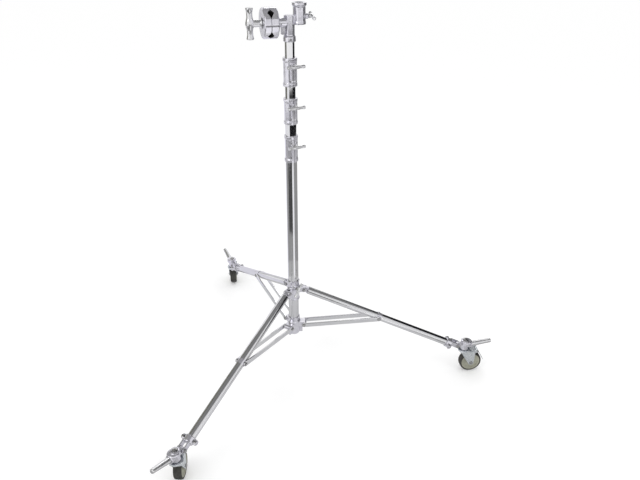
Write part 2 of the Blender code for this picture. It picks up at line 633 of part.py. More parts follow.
# --- Head casting and grip head ---------------------------------------------------------------
def make_head(riser):
    """The casting on the top riser: a 28 mm receiver on one side, the grip head on the other."""
    bottom, top = HEAD_SPAN
    head = turned("head_casting", riser,
                  [(0.0, top), (HEAD_RADIUS, top), (HEAD_RADIUS, bottom + 0.020),
                   (0.0225, bottom + 0.017), (0.0225, bottom), (0.0, bottom)],
                  material="cast_silver")
    side = frame("receiver_side", riser, turn=(RECEIVER_AZIMUTH, "Z"))
    low, high = RECEIVER_SPAN
    receiver = turned("receiver_body", side,
                      [(0.0, high), (RECEIVER_RIM_RADIUS, high),
                       (RECEIVER_RIM_RADIUS, high - 0.010),
                       (RECEIVER_RADIUS, high - 0.013), (RECEIVER_RADIUS, low), (0.0, low)],
                      centre=(RECEIVER_OFFSET, 0.0, 0.0))
    bridge = box("receiver_bridge", side, (-0.0020, -0.012, low + 0.004),
                 (RECEIVER_OFFSET, 0.012, top - 0.004))
    knob_end = RECEIVER_OFFSET + RECEIVER_RADIUS + 0.009
    boss = rod("receiver_boss", side, 0.0095, RECEIVER_OFFSET, knob_end, axis="X",
               centre=(0.0, RECEIVER_KNOB_HEIGHT))
    barrel = rod("grip_barrel", side, 0.0170, -BACK_PLATE_SPAN[0] + RUNNING_GAP, 0.0030,
                 axis="X", centre=(0.0, GRIP_HEIGHT), sides=MIDDLE_SIDES)
    gusset = box("grip_gusset", side, (-0.030, -0.009, bottom + 0.024),
                 (0.0010, 0.009, GRIP_HEIGHT))
    join(head, receiver, bridge, boss, barrel, gusset)
    socket = rod("riser_socket", riser, RISER_RADII[2] + GAP, bottom - 0.01,
                 bottom + 0.050 + GAP, sides=SIDES)
    bore_profile = [(0.0, high + 0.01), (RECEIVER_BORE_RADIUS, high + 0.01),
                    (RECEIVER_BORE_RADIUS, high - 0.067), (0.0, high - 0.067)]
    bore = turned("receiver_bore", side, bore_profile, centre=(RECEIVER_OFFSET, 0.0, 0.0),
                  phase=180.0 / SIDES)
    knob_hole = rod("receiver_knob_hole", side, 0.0045, RECEIVER_OFFSET, knob_end + 0.01,
                    axis="X", centre=(0.0, RECEIVER_KNOB_HEIGHT))
    spindle_hole = rod("spindle_hole", side, 0.0060 + RUNNING_GAP, -0.060, 0.0130, axis="X",
                       centre=(0.0, GRIP_HEIGHT))
    cut(head, socket, bore, knob_hole, spindle_hole)
    knob = frame("receiver_knob_axis", side, (RECEIVER_OFFSET, 0.0, RECEIVER_KNOB_HEIGHT))
    t_knob("receiver_knob", knob, RECEIVER_BORE_RADIUS + 0.0010, 0.047, 0.056, 13.0)


def grip_plate(name, parent, near, far, far_chamfer, near_chamfer):
    """One half of the grip head, with the jaw grooves cut half into it."""
    disc = turned(name, parent,
                  [(0.0, far), (DISC_RADIUS - far_chamfer, far),
                   (DISC_RADIUS, far - far_chamfer), (DISC_RADIUS, near + near_chamfer),
                   (DISC_RADIUS - near_chamfer, near), (0.0, near)],
                  axis="X", material="cast_silver")
    parting = (BACK_PLATE_SPAN[1] + FRONT_PLATE_SPAN[0]) / 2
    for side in (-1, 1):
        groove = rod(f"{name}_groove_{side}", parent, JAW_SIDE / math.sqrt(2), -0.06, 0.06,
                     centre=(parting, side * JAW_OFFSET), sides=4)
        cut(disc, groove)
    hole = rod(name + "_hole", parent, 0.0060 + RUNNING_GAP, near - 0.01, far + 0.01,
               axis="X")
    cut(disc, hole)


def make_grip_head(riser):
    swivel = frame("grip_head_axis", riser, (0.0, 0.0, GRIP_HEIGHT), (GRIP_AZIMUTH, "Z"))
    grip_plate("grip_back_plate", swivel, *BACK_PLATE_SPAN, PARTING_CHAMFER, RIM_CHAMFER)
    spindle_end = FRONT_PLATE_SPAN[1] + 0.030
    rod("grip_spindle", swivel, 0.0060, -0.0120, spindle_end, axis="X", material="bolt_steel")
    jaw = frame("grip_front_plate_axis", swivel)
    grip_plate("grip_front_plate", jaw, *FRONT_PLATE_SPAN, RIM_CHAMFER, PARTING_CHAMFER)
    handle_frame = frame("grip_handle_axis", jaw)
    sleeve_start = FRONT_PLATE_SPAN[1] + RUNNING_GAP
    half = HANDLE_BAR_LENGTH / 2
    flare = [(0.0, half), (0.0130, half), (0.0105, half - 0.012), (0.0105, 0.020),
             (0.0150, 0.006), (0.0150, -0.006), (0.0105, -0.020), (0.0105, -half + 0.012),
             (0.0130, -half), (0.0, -half)]
    handle = turned("grip_handle", handle_frame, flare,
                    centre=(HANDLE_BAR_DISTANCE, 0.0, 0.0), material="chrome",
                    sides=MIDDLE_SIDES)
    sleeve = rod("handle_sleeve", handle_frame, 0.0122, sleeve_start, HANDLE_BAR_DISTANCE,
                 axis="X", sides=MIDDLE_SIDES)
    washer = rod("handle_washer", handle_frame, 0.0185, sleeve_start, sleeve_start + 0.003,
                 axis="X", sides=MIDDLE_SIDES)
    bore = rod("handle_bore", handle_frame, 0.0060 + RUNNING_GAP, sleeve_start - 0.01,
               HANDLE_BAR_DISTANCE - 0.008, axis="X")
    cut(join(handle, sleeve, washer), bore)


def make_stand():
    mast, top_riser = make_mast()
    make_mast_foot(mast)
    collar_frame = make_leg_collar(mast)
    for label, azimuth in LEG_AZIMUTHS.items():
        make_leg(label, azimuth, mast, collar_frame)
    make_head(top_riser)
    make_grip_head(top_riser)


make_stand()
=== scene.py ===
"""The looks of the wheeled overhead stand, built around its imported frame. Metres, +Z up."""

import json
from math import atan2, cos, degrees, hypot, radians, sin, sqrt

import bmesh
import bpy
from mathutils import Matrix, Vector


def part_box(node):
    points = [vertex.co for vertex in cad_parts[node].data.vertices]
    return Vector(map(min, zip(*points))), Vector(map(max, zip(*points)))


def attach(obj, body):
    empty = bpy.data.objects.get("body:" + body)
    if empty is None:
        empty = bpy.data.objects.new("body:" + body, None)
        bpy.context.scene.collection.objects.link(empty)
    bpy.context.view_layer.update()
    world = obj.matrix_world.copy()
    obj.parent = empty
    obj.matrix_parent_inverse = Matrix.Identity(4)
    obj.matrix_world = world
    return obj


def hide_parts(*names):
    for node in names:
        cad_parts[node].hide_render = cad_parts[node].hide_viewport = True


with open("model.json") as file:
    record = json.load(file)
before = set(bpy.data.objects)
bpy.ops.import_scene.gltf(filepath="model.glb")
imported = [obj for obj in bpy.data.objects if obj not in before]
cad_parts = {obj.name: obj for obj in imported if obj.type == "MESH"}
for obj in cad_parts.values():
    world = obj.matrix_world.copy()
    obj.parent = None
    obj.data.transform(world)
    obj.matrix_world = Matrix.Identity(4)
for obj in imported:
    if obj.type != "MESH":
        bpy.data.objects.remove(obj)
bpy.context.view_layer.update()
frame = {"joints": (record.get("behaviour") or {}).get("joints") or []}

# --- Places and sizes from the frame ---
JOINTS = {joint["name"]: joint for joint in frame["joints"]}
LEGS = ("right", "back", "front")
COLLARS = ("lower", "middle", "upper")
TUBES = (("mast", "base_tube"), ("riser_1", "riser_tube_1"), ("riser_2", "riser_tube_2"),
         ("riser_3", "riser_tube_3"))
IDENTITY = Matrix.Identity(4)

SEGMENTS = 96               # round a mast tube
SMALL_SEGMENTS = 40         # round a bolt or a screw
HEX = 6
VOXEL = 0.0009              # of a large casting
FINE_VOXEL = 0.0008
SMALL_VOXEL = 0.0006        # of a knob or a pedal


def extent(node):
    low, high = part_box(node)
    return high - low


def levels(node):
    """The heights of a node's bottom and top."""
    return [corner.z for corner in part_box(node)]


def place_of(joint):
    return Vector(JOINTS[joint]["pos_m"])


def azimuth_across(joint):
    """The azimuth, in degrees, that a joint's level axis is square to."""
    x, y, _ = JOINTS[joint]["axis"]
    return degrees(atan2(-x, y))


def azimuth_along(joint):
    x, y, _ = JOINTS[joint]["axis"]
    return degrees(atan2(y, x))


def turn(angle, axis):
    return Matrix.Rotation(radians(angle), 4, axis)


def move(*place):
    return Matrix.Translation(Vector(place))


def joint_axes(joint):
    """Axes at a joint, with Y along its level axis."""
    return move(*place_of(joint)) @ turn(azimuth_across(joint), "Z")


TOWARD_X = turn(90, "Y")    # these take Z to another axis
TOWARD_Y = turn(-90, "X")
AWAY_Y = turn(180, "X") @ TOWARD_Y

TUBE_RADII = [extent(node).x / 2 for _, node in TUBES]
BASE_RADIUS = TUBE_RADII[0]
TUBE_WALL = 0.0011
LEG_RADIUS = extent("leg_tube_right").y / 2
LEG_WALL = 0.0015
LEG_PIVOT = place_of("leg_right_fold")
SADDLE = sum(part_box("leg_saddle_right"), Vector()) / 2
SLOPE = atan2(LEG_PIVOT.z - SADDLE.z, SADDLE.x - LEG_PIVOT.x)
SADDLE_REACH = hypot(LEG_PIVOT.z - SADDLE.z, SADDLE.x - LEG_PIVOT.x)
LEG_END = (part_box("leg_tube_right")[1].x - LEG_PIVOT.x - LEG_RADIUS * sin(SLOPE)) / cos(SLOPE)
LEG_START = 0.02
SOCKET_START = LEG_END - 0.0235
BRACE_PIVOT = place_of("brace_right_fold")
BRACE_RISE = atan2(SADDLE.z - BRACE_PIVOT.z, SADDLE.x - BRACE_PIVOT.x)
BRACE_LENGTH = hypot(SADDLE.z - BRACE_PIVOT.z, SADDLE.x - BRACE_PIVOT.x)
BRACE_OFFSET = 0.0205
BAR_THICKNESS = 0.005
BRACE_INNER = BRACE_OFFSET - BAR_THICKNESS / 2
BRACE_OUTER = BRACE_OFFSET + BAR_THICKNESS / 2
EAR_INNER = 0.0085
EAR_OUTER = 0.014
HINGE = place_of("yoke_right_level")
SWIVEL = place_of("caster_right_swivel")
STEM = hypot(*SWIVEL.xy) - hypot(*HINGE.xy)
WHEEL_CENTRE = place_of("wheel_right_spin").z
TRAIL = (place_of("wheel_right_spin") - SWIVEL).xy.length
PEDAL_TRAIL = (place_of("pedal_right_brake") - SWIVEL).xy.length
PEDAL_HEIGHT = place_of("pedal_right_brake").z
CROWN_TOP = WHEEL_CENTRE + 0.0705
HUB_BOTTOM = CROWN_TOP + 0.0005
GRIP_HEIGHT = place_of("grip_head_swivel").z
GRIP_AZIMUTH = azimuth_along("grip_head_swivel")
RECEIVER_AZIMUTH = GRIP_AZIMUTH + 180
CLAMP = turn(azimuth_along("clamp_knob_lower_turn"), "Z")
ARMS = {label: turn(azimuth_across(f"leg_{label}_fold"), "Z") for label in LEGS}

SCREW_BORE = 0.0045         # clear round a clamp screw
SCREW_GAP = 0.0006          # between a slack clamp screw and its tube
RECEIVER_SCREW_REACH = 0.047 - 0.0153   # from its joint to 1 mm short of the bore


# --- Outlines ---
def soften(points, radius, steps=4, closed=False):
    """Rounds the corners of an outline; an open one keeps its two ends."""
    points = [Vector(point) for point in points]
    count = len(points)
    rounded = []
    for index, corner in enumerate(points):
        if not closed and index in (0, count - 1):
            rounded.append(corner)
            continue
        before = points[index - 1] - corner
        after = points[(index + 1) % count] - corner
        reach = min(radius, 0.45 * before.length, 0.45 * after.length)
        if reach < 1e-5 or before.angle(after) > radians(172):
            rounded.append(corner)
            continue
        start = corner + before.normalized() * reach
        end = corner + after.normalized() * reach
        for step in range(steps + 1):
            share = step / steps
            rounded.append(start * (1 - share) ** 2 + corner * 2 * share * (1 - share)
                           + end * share ** 2)
    return [tuple(point) for point in rounded]


def round_outline(low_x, low_z, high_x, high_z, radius, steps=4):
    corners = [(low_x, low_z), (high_x, low_z), (high_x, high_z), (low_x, high_z)]
    return soften(corners, radius, steps, closed=True) if radius else corners


def arc(centre, radius, start, end, steps=18):
    spots = []
    for step in range(steps + 1):
        angle = radians(start + (end - start) * step / steps)
        spots.append((centre[0] + radius * cos(angle), centre[1] + radius * sin(angle)))
    return spots


def mirrored(half):
    """An outline whose second half is its first the other way up."""
    return half + [(radius, -height) for radius, height in reversed(half)]


def eye_outline(centre, radius, root):
    """A tongue from x = root to a round nose at the centre."""
    low, high = centre[1] - radius, centre[1] + radius
    if centre[0] > root:
        return [(root, low), *arc(centre, radius, -90, 90), (root, high)]
    return [*arc(centre, radius, 90, 270), (root, low), (root, high)]


def thread_profile(radius, start, end, pitch=0.00125):
    """Half the section of a screw: a ridge each pitch."""
    root = radius - pitch * 0.45
    points = [(root, end)]
    for ridge in range(int((end - start) / pitch)):
        height = end - (ridge + 0.5) * pitch
        points += [(radius, height), (root, height - pitch * 0.5)]
    return points + [(root, start)]


# --- Solids ---
def add_turned(bm, outline, place=IDENTITY, segments=SEGMENTS, edge=0.0, steps=3, ring=False):
    """Spins a (radius, height) outline round Z, with its corners rounded by edge.

    It is closed to the axis at both ends, or to itself if it is the section of a ring."""
    profile = outline if ring else [(0.0, outline[0][1]), *outline, (0.0, outline[-1][1])]
    if edge:
        profile = soften(profile, edge, steps, ring)
    rings = []
    for radius, height in profile:
        spots = arc((0, 0), radius, 0, 360, segments)[:segments if radius else 1]
        rings.append([bm.verts.new(place @ Vector((x, y, height))) for x, y in spots])
    pairs = list(zip(rings, rings[1:]))
    if ring:
        pairs.append((rings[-1], rings[0]))
    for one, other in pairs:
        for step in range(segments):
            after = (step + 1) % segments
            corners = [one[step % len(one)], one[after % len(one)],
                       other[after % len(other)], other[step % len(other)]]
            corners = list(dict.fromkeys(corners))
            if len(corners) > 2:
                bm.faces.new(corners)
    return bm


def add_rod(bm, radius, start, end, place=IDENTITY, edge=0.0006, segments=SMALL_SEGMENTS):
    """A rod along Z with rounded rims."""
    return add_turned(bm, [(radius, end), (radius, start)], place, segments, edge, 4)


def add_sleeve(bm, outer, inner, bottom, top, place=IDENTITY, edge=0.0005):
    """A length of tube along Z with rounded rims."""
    profile = [(outer, top), (outer, bottom), (inner, bottom), (inner, top)]
    return add_turned(bm, profile, place, SEGMENTS, edge, 4, ring=True)


def add_plate(bm, outline, near, far, place=IDENTITY, edge=0.0):
    """An outline in the XZ plane, given thickness along Y, with its rims rounded by edge."""
    sides = [[bm.verts.new(place @ Vector((x, y, z))) for x, z in outline] for y in (near, far)]
    caps = [bm.faces.new(side) for side in sides]
    for step in range(len(outline)):
        after = (step + 1) % len(outline)
        bm.faces.new([sides[0][step], sides[0][after], sides[1][after], sides[1][step]])
    if edge:
        rims = list({rim for cap in caps for rim in cap.edges})
        bmesh.ops.bevel(bm, geom=rims, offset=edge, segments=3, profile=0.5, affect="EDGES",
                        clamp_overlap=True)
    return bm


def add_cheeks(bm, outline, inner, outer, place=IDENTITY, edge=0.0):
    """A plate on each side of the XZ plane."""
    add_plate(bm, outline, -outer, -inner, place, edge)
    add_plate(bm, outline, inner, outer, place, edge)


def add_block(bm, low, high, place=IDENTITY, edge=0.0):
    outline = round_outline(low[0], low[2], high[0], high[2], edge)
    return add_plate(bm, outline, low[1], high[1], place, edge * 0.6)


def bore(radius, start, end, place=IDENTITY):
    """A cutter for a round hole."""
    segments = SEGMENTS if radius > 0.01 else SMALL_SEGMENTS
    return add_rod(bmesh.new(), radius, start, end, place, 0.0, segments)


def pin_bore(radius, place=IDENTITY):
    """A cutter for a hole along Y that goes through everything near it."""
    return bore(radius, -0.03, 0.03, place @ TOWARD_Y)


def slot(low, high, place=IDENTITY):
    """A cutter for a straight gap."""
    return add_block(bmesh.new(), low, high, place)


def linked(name, data):
    """A new object in the scene."""
    obj = bpy.data.objects.new(name, data)
    bpy.context.scene.collection.objects.link(obj)
    return obj


def temporary(bm):
    """An object that holds the bmesh, with its faces turned out."""
    bmesh.ops.recalc_face_normals(bm, faces=bm.faces)
    mesh = bpy.data.meshes.new("work")
    bm.to_mesh(mesh)
    bm.free()
    return linked("work", mesh)


def settle(obj, name, cutters):
    """The object's mesh with its modifiers applied and the cutters taken away."""
    tools = [temporary(cutter) for cutter in cutters]
    for number, tool in enumerate(tools):
        boolean = obj.modifiers.new(f"bore_{number}", "BOOLEAN")
        boolean.operation = "DIFFERENCE"
        boolean.object = tool
        boolean.solver = "MANIFOLD"
    graph = bpy.context.evaluated_depsgraph_get()
    mesh = bpy.data.meshes.new_from_object(obj.evaluated_get(graph))
    mesh.name = name + "_mesh"
    mesh.materials.clear()
    mesh.polygons.foreach_set("material_index", [0] * len(mesh.polygons))
    for used in (obj, *tools):
        old = used.data
        bpy.data.objects.remove(used, do_unlink=True)
        bpy.data.meshes.remove(old)
    mesh.shade_smooth()
    mesh.set_sharp_from_angle(angle=radians(38))
    return mesh


def machined(name, bm, cutters=()):
    """A solid with exact edges."""
    return settle(temporary(bm), name, cutters)


def cast(name, bm, cutters=(), voxel=VOXEL, rounds=3):
    """Melts overlapping solids into one casting with soft fillets, then bores it."""
    obj = temporary(bm)
    remesh = obj.modifiers.new("melt", "REMESH")
    remesh.mode = "VOXEL"
    remesh.voxel_size = voxel
    smooth = obj.modifiers.new("fillets", "SMOOTH")
    smooth.factor = 0.5
    smooth.iterations = rounds
    return settle(obj, name, cutters)


# --- Materials ---
class Finish:
    """A procedural material, built up on one Principled shader."""

    def __init__(self, name, metallic):
        self.material = bpy.data.materials.new(name)
        self.material.use_nodes = True
        self.nodes = self.material.node_tree.nodes
        self.links = self.material.node_tree.links
        self.shader = self.nodes["Principled BSDF"]
        self.shader.inputs["Metallic"].default_value = metallic
        self.coordinates = self.node("ShaderNodeTexCoord").outputs["Object"]

    def node(self, kind, **values):
        """A node with its inputs set: a number is its value and a socket is linked to it."""
        node = self.nodes.new(kind)
        for name, value in values.items():
            socket = node.inputs[name.replace("_", " ")]
            if isinstance(value, bpy.types.NodeSocket):
                self.links.new(value, socket)
            else:
                socket.default_value = value
        return node

    def noise(self, scale, detail, stretch=(1.0, 1.0, 1.0)):
        mapping = self.node("ShaderNodeMapping", Vector=self.coordinates, Scale=stretch)
        texture = self.node("ShaderNodeTexNoise", Vector=mapping.outputs["Vector"], Scale=scale,
                            Detail=detail)
        return texture.outputs["Fac"]

    def cells(self, scale):
        texture = self.node("ShaderNodeTexVoronoi", Vector=self.coordinates, Scale=scale)
        return texture.outputs["Color"]

    def between(self, source, low, high, start=0.3, end=0.7):
        """A number that runs from low to high as the source runs from start to end."""
        spread = self.node("ShaderNodeMapRange", Value=source, From_Min=start, From_Max=end,
                           To_Min=low, To_Max=high)
        return spread.outputs["Result"]

    def mottled(self, source, dark, light):
        ramp = self.node("ShaderNodeValToRGB", Fac=source)
        for stop, position, color in zip(ramp.color_ramp.elements, (0.3, 0.7), (dark, light)):
            stop.position = position
            stop.color = (*color, 1.0)
        return ramp.outputs["Color"]

    def mix(self, share, color, other):
        mix = self.node("ShaderNodeMix", Factor=share)
        mix.data_type = "RGBA"
        for index, value in ((6, color), (7, other)):
            if isinstance(value, tuple):
                mix.inputs[index].default_value = (*value, 1.0)
            else:
                self.links.new(value, mix.inputs[index])
        return mix.outputs[2]

    def paint_crevice_shade(self, color, crevice_shade, reach):
        """Paints shade into the crevices: the colour darkens where ambient occlusion finds
        surfaces close by.
        """
        shade = self.node("ShaderNodeAmbientOcclusion", Distance=reach)
        shade.samples = 6
        return self.mix(self.between(shade.outputs["AO"], 0.0, 1.0, 0.3, 0.75), crevice_shade, color)

    def edge_wear_and_highlight(self, color, rubbed_and_highlit):
        """Lightens the convex edges, as wear where hands and cases rub and as a painted
        highlight.
        """
        pointed = self.node("ShaderNodeNewGeometry").outputs["Pointiness"]
        return self.mix(self.between(pointed, 0.0, 0.7, 0.52, 0.6), color, rubbed_and_highlit)

    def grain(self, heights, strength, distance):
        """Bump from one height after another."""
        normal = {}
        for height in heights:
            bump = self.node("ShaderNodeBump", Strength=strength, Distance=distance,
                             Height=height, **normal)
            normal = {"Normal": bump.outputs["Normal"]}
        self.links.new(normal["Normal"], self.shader.inputs["Normal"])


def make_finish(name, metallic, mottle, dark, light, gloss, roughness, grains, relief,
                crevice_shade=None, rubbed_and_highlit=None):
    """A finish mottled from dark to light, with its gloss and its fine relief uneven too.

    mottle, gloss and each of grains are a noise's scale, detail and stretch, or for mottle just
    the scale of crystal cells. relief is the bump's strength and distance. The last two are the
    colour and reach of the shade painted into crevices, and the colour that convex edges are
    lightened to, for wear and as a painted highlight."""
    finish = Finish(name, metallic)
    pattern = finish.cells(*mottle) if len(mottle) == 1 else finish.noise(*mottle)
    color = finish.mottled(pattern, dark, light)
    # Painted shade: the colour darkens in crevices that ambient occlusion finds.
    if crevice_shade:
        color = finish.paint_crevice_shade(color, *crevice_shade)
    # Painted highlight, with wear: convex edges are lightened.
    if rubbed_and_highlit:
        color = finish.edge_wear_and_highlight(color, rubbed_and_highlit)
    finish.links.new(color, finish.shader.inputs["Base Color"])
    rough = finish.between(finish.noise(*gloss), *roughness)
    finish.links.new(rough, finish.shader.inputs["Roughness"])
    finish.grain([finish.noise(*grain) for grain in grains], *relief)
    return finish.material


def make_chrome(name, stretch=(1.0, 1.0, 1.0), roughness=(0.05, 0.12), metallic=1.0):
    """Bright plate on drawn tube: faint marks along it, and smudges in its gloss."""
    return make_finish(name, metallic, (9.0, 3.0), (0.79, 0.79, 0.81), (0.87, 0.87, 0.88),
                       (55.0, 6.0, stretch), roughness, [(420.0, 3.0, stretch)], (0.05, 0.0002))


def make_cast_silver(name, metallic):
    """Bright casting with a fine sand grain, edges lightened for wear and as a painted highlight,
    and painted shade in its corners.
    """
    return make_finish(name, metallic, (60.0, 5.0), (0.74, 0.73, 0.8), (0.88, 0.87, 0.92),
                       (140.0, 4.0), (0.1, 0.2), [(500.0, 2.0), (160.0, 2.0)],
                       (0.012, 0.0003), ((0.2, 0.2, 0.22), 0.009), (0.95, 0.94, 0.95))


MATERIALS = {
    "chrome": make_chrome("chrome", (1.0, 1.0, 0.04)),
    "chrome_bar": make_chrome("chrome_bar", (0.06, 1.0, 1.0)),
    "chrome_handle": make_chrome("chrome_handle", roughness=(0.16, 0.28), metallic=0.88),
    "chrome_satin": make_chrome("chrome_satin", roughness=(0.18, 0.28), metallic=0.86),
    "cast_silver": make_cast_silver("cast_silver", 0.84),
    "cast_satin": make_cast_silver("cast_satin", 0.68),
    # Bright zinc on pressed steel, with the plate's faint crystal patches and painted shade in
    # its recesses and under the hub
    "zinc": make_finish("zinc", 0.82, (260.0,), (0.74, 0.79, 0.83), (0.9, 0.93, 0.95),
                        (90.0, 5.0), (0.16, 0.3), [(600.0, 3.0)], (0.02, 0.0002),
                        ((0.07, 0.08, 0.1), 0.022)),
    # Near-black painted shade on the faces of the jaws' grooves, with faint bright rubs where
    # rods have slid
    "jaw_shade_black": make_finish("jaw_shade_black", 1.0, (220.0, 4.0), (0.012, 0.012, 0.013),
                             (0.06, 0.058, 0.056), (180.0, 3.0), (0.45, 0.65),
                             [(900.0, 3.0)], (0.1, 0.0002)),
    # Plain turned steel, with painted shade in its recesses
    "bolt_steel": make_finish("bolt_steel", 1.0, (120.0, 4.0), (0.42, 0.42, 0.43),
                              (0.62, 0.61, 0.6), (300.0, 3.0), (0.18, 0.36),
                              [(1400.0, 2.0, (1.0, 1.0, 0.2))], (0.08, 0.0001),
                              ((0.05, 0.05, 0.05), 0.006)),
    # Matt black rubber with floor dust in its grain
    "tread": make_finish("tread", 0.0, (45.0, 6.0), (0.018, 0.018, 0.016),
                         (0.06, 0.058, 0.05), (200.0, 4.0), (0.62, 0.88),
                         [(1100.0, 3.0)], (0.25, 0.0003)),
    # Moulded grey-beige plastic, slightly mottled, with scuffed edges lightened also as a painted
    # highlight, and painted shade in its recesses
    "wheel": make_finish("wheel", 0.0, (38.0, 5.0), (0.27, 0.27, 0.21), (0.38, 0.38, 0.31),
                         (150.0, 4.0), (0.4, 0.62), [(700.0, 3.0)], (0.12, 0.0002),
                         ((0.1, 0.1, 0.08), 0.008), (0.5, 0.5, 0.44)),
}


def add_piece(name, mesh, material, body, place=IDENTITY, node=None):
    """Puts a mesh in the scene, riding on a body and standing for a CAD node if one is named."""
    obj = linked(name, mesh)
    obj.matrix_world = place
    if not mesh.materials:
        mesh.materials.append(MATERIALS[material])
    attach(obj, body)
    if node:
        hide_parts(node)


def stand_in(node, word, mesh, material, body, place=IDENTITY):
    """A piece that stands for a CAD node and is named after it."""
    add_piece(f"{node}_{word}", mesh, material, body, place, node)


# --- Fasteners ---
def add_hex(bm, across, start, end, place=IDENTITY):
    """A hexagon head with its corners turned off at the far end."""
    radius = across / sqrt(3)
    rim = radius * 0.88
    chamfer = (radius - rim) * 0.5
    add_turned(bm, [(rim, end), (radius, end - chamfer), (radius, start)], place, HEX)


def bolt_mesh(name, half_length, shank=0.004, across=0.0125, head=0.0045):
    """A pivot bolt along Y: washers, a hexagon head on one side and a lock nut on the other."""
    end = half_length + head
    bm = bmesh.new()
    add_rod(bm, shank, -half_length, half_length, TOWARD_Y)
    for place in (TOWARD_Y, AWAY_Y):
        add_rod(bm, across * 0.6, half_length - 0.0002, half_length + 0.001, place, 0.0003)
        add_hex(bm, across, half_length + 0.0008, end - 0.0008, place)
        add_rod(bm, across * 0.36, end - 0.0012, end, place)
    return machined(name, bm)


def cap_screw_mesh(name, radius=0.0034, height=0.0036):
    """A socket-head screw that stands on the XY plane."""
    socket = radius * 0.5
    profile = [(socket, height * 0.45), (socket, height), (radius * 0.9, height),
               (radius, height * 0.88), (radius, -0.001)]
    return machined(name, add_turned(bmesh.new(), profile, segments=24))


# --- T-shaped clamp screws ---
def t_knob_mesh(name, reach, bar_length):
    """A cast T-bar on a threaded screw that runs back along -X by reach."""
    half = bar_length / 2
    bm = bmesh.new()
    flare = mirrored([(0.0062, half), (0.0068, half - 0.004), (0.0049, half * 0.55),
                      (0.0064, half * 0.2)])
    add_turned(bm, flare, TOWARD_Y, SMALL_SEGMENTS, 0.006, 5)
    hub = [(0.0064, 0.001), (0.0064, -0.006), (0.0078, -0.0125), (0.0078, -0.014)]
    add_turned(bm, hub, TOWARD_X, SMALL_SEGMENTS, 0.0012, 4)
    head = cast(name + "_cast", bm, voxel=SMALL_VOXEL)
    bm = bmesh.new()
    bm.from_mesh(head)
    bpy.data.meshes.remove(head)
    add_turned(bm, thread_profile(0.004, -reach, -0.012), TOWARD_X, SMALL_SEGMENTS)
    return machined(name, bm)


def make_knobs():
    """Each knob turns on its screw; how far it is turned at rest is only for show."""
    knobs = [("clamp_knob_" + label, radius, 0) for label, radius in zip(COLLARS, TUBE_RADII)]
    knobs.append(("leg_collar_knob", BASE_RADIUS, 60))
    for body, radius, lean in knobs:
        reach = place_of(body + "_turn").xy.length - radius - SCREW_GAP
        add_knob(body, reach, 0.068, lean)
    add_knob("receiver_knob", RECEIVER_SCREW_REACH, 0.056, 13)


def add_knob(body, reach, bar_length, lean):
    joint = body + "_turn"
    place = move(*place_of(joint)) @ turn(azimuth_along(joint), "Z") @ turn(lean, "X")
    stand_in(body, "t_screw", t_knob_mesh(body, reach, bar_length), "chrome_handle", body, place)


# --- Mast ---
def make_tubes():
    for (body, node), radius in zip(TUBES, TUBE_RADII):
        bm = add_sleeve(bmesh.new(), radius, radius - TUBE_WALL, *levels(node), edge=0.0004)
        stand_in(node, "polished", machined(node, bm), "chrome", body)


CLAMP_BOLT_REACH = 0.0262   # from the mast's axis


def clamp_bolt_levels(node):
    bottom, top = levels(node)
    return bottom + 0.021, top - 0.024


def clamp_collar_mesh(node, lower_radius, riser_radius, screw_height):
    """A split casting with rim bands, a bolted rib, side beads and a boss for its screw."""
    bottom, top = levels(node)
    rim = -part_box(node)[0].x
    waist = rim - 0.0025
    band = 0.011
    bm = bmesh.new()
    body = [(rim - 0.0006, top), (rim, top - 0.001), (rim, top - band),
            (waist, top - band - 0.0028), (waist, bottom + band + 0.0028),
            (rim, bottom + band), (rim, bottom + 0.001), (rim - 0.0006, bottom)]
    add_turned(bm, body, edge=0.0012)
    add_block(bm, (0.015, -0.0085, bottom + 0.01), (0.0305, 0.0085, top - 0.013), CLAMP, 0.003)
    screw = CLAMP @ move(0, 0, screw_height) @ TOWARD_X
    add_rod(bm, 0.0105, 0.015, 0.036, screw, 0.0015)
    for side in (-1, 1):
        for height in clamp_bolt_levels(node):
            pad = CLAMP @ move(CLAMP_BOLT_REACH, 0, height) @ TOWARD_Y
            add_rod(bm, 0.0048, side * 0.0045 - 0.0045, side * 0.0045 + 0.0045, pad, 0.001)
        bead = CLAMP @ turn(side * 74, "Z") @ move(waist - 0.0008, 0, 0)
        add_rod(bm, 0.0026, bottom + 0.006, top - 0.006, bead, segments=20)
    add_block(bm, (waist - 0.004, -0.0045, bottom + 0.008), (waist + 0.0016, 0.0045, top - 0.008),
              CLAMP @ turn(150, "Z"), 0.0014)
    cutters = [
        bore(lower_radius + 0.0002, bottom - 0.02, top - 0.0118),
        bore(riser_radius + 0.0005, bottom - 0.03, top + 0.02),
        slot((0.012, -0.0007, bottom - 0.01), (0.04, 0.0007, top + 0.01), CLAMP),
        bore(SCREW_BORE, 0.01, 0.042, screw),
    ]
    return cast(node, bm, cutters, rounds=6)


def make_collars():
    screw = cap_screw_mesh("cap_screw")
    for index, label in enumerate(COLLARS):
        node, body = "clamp_collar_" + label, TUBES[index][0]
        height = place_of(f"clamp_knob_{label}_turn").z
        mesh = clamp_collar_mesh(node, TUBE_RADII[index], TUBE_RADII[index + 1], height)
        stand_in(node, "casting", mesh, "cast_satin", body)
        for number, level in enumerate(clamp_bolt_levels(node), 1):
            for side, word in ((-1, "left"), (1, "right")):
                place = (CLAMP @ move(CLAMP_BOLT_REACH, side * 0.0088, level)
                         @ turn(-90 * side, "X"))
                add_piece(f"clamp_bolt_{label}_{number}_{word}", screw, "bolt_steel", body, place)


# --- Leg collar and mast foot ---
def add_pins(name, half_length, body, pivot):
    """A pivot bolt through the casting at each of its arms."""
    pin = bolt_mesh(name, half_length)
    for label, arm in ARMS.items():
        add_piece(f"{name}_{label}", pin, "bolt_steel", body, arm @ move(pivot.x, 0, pivot.z))


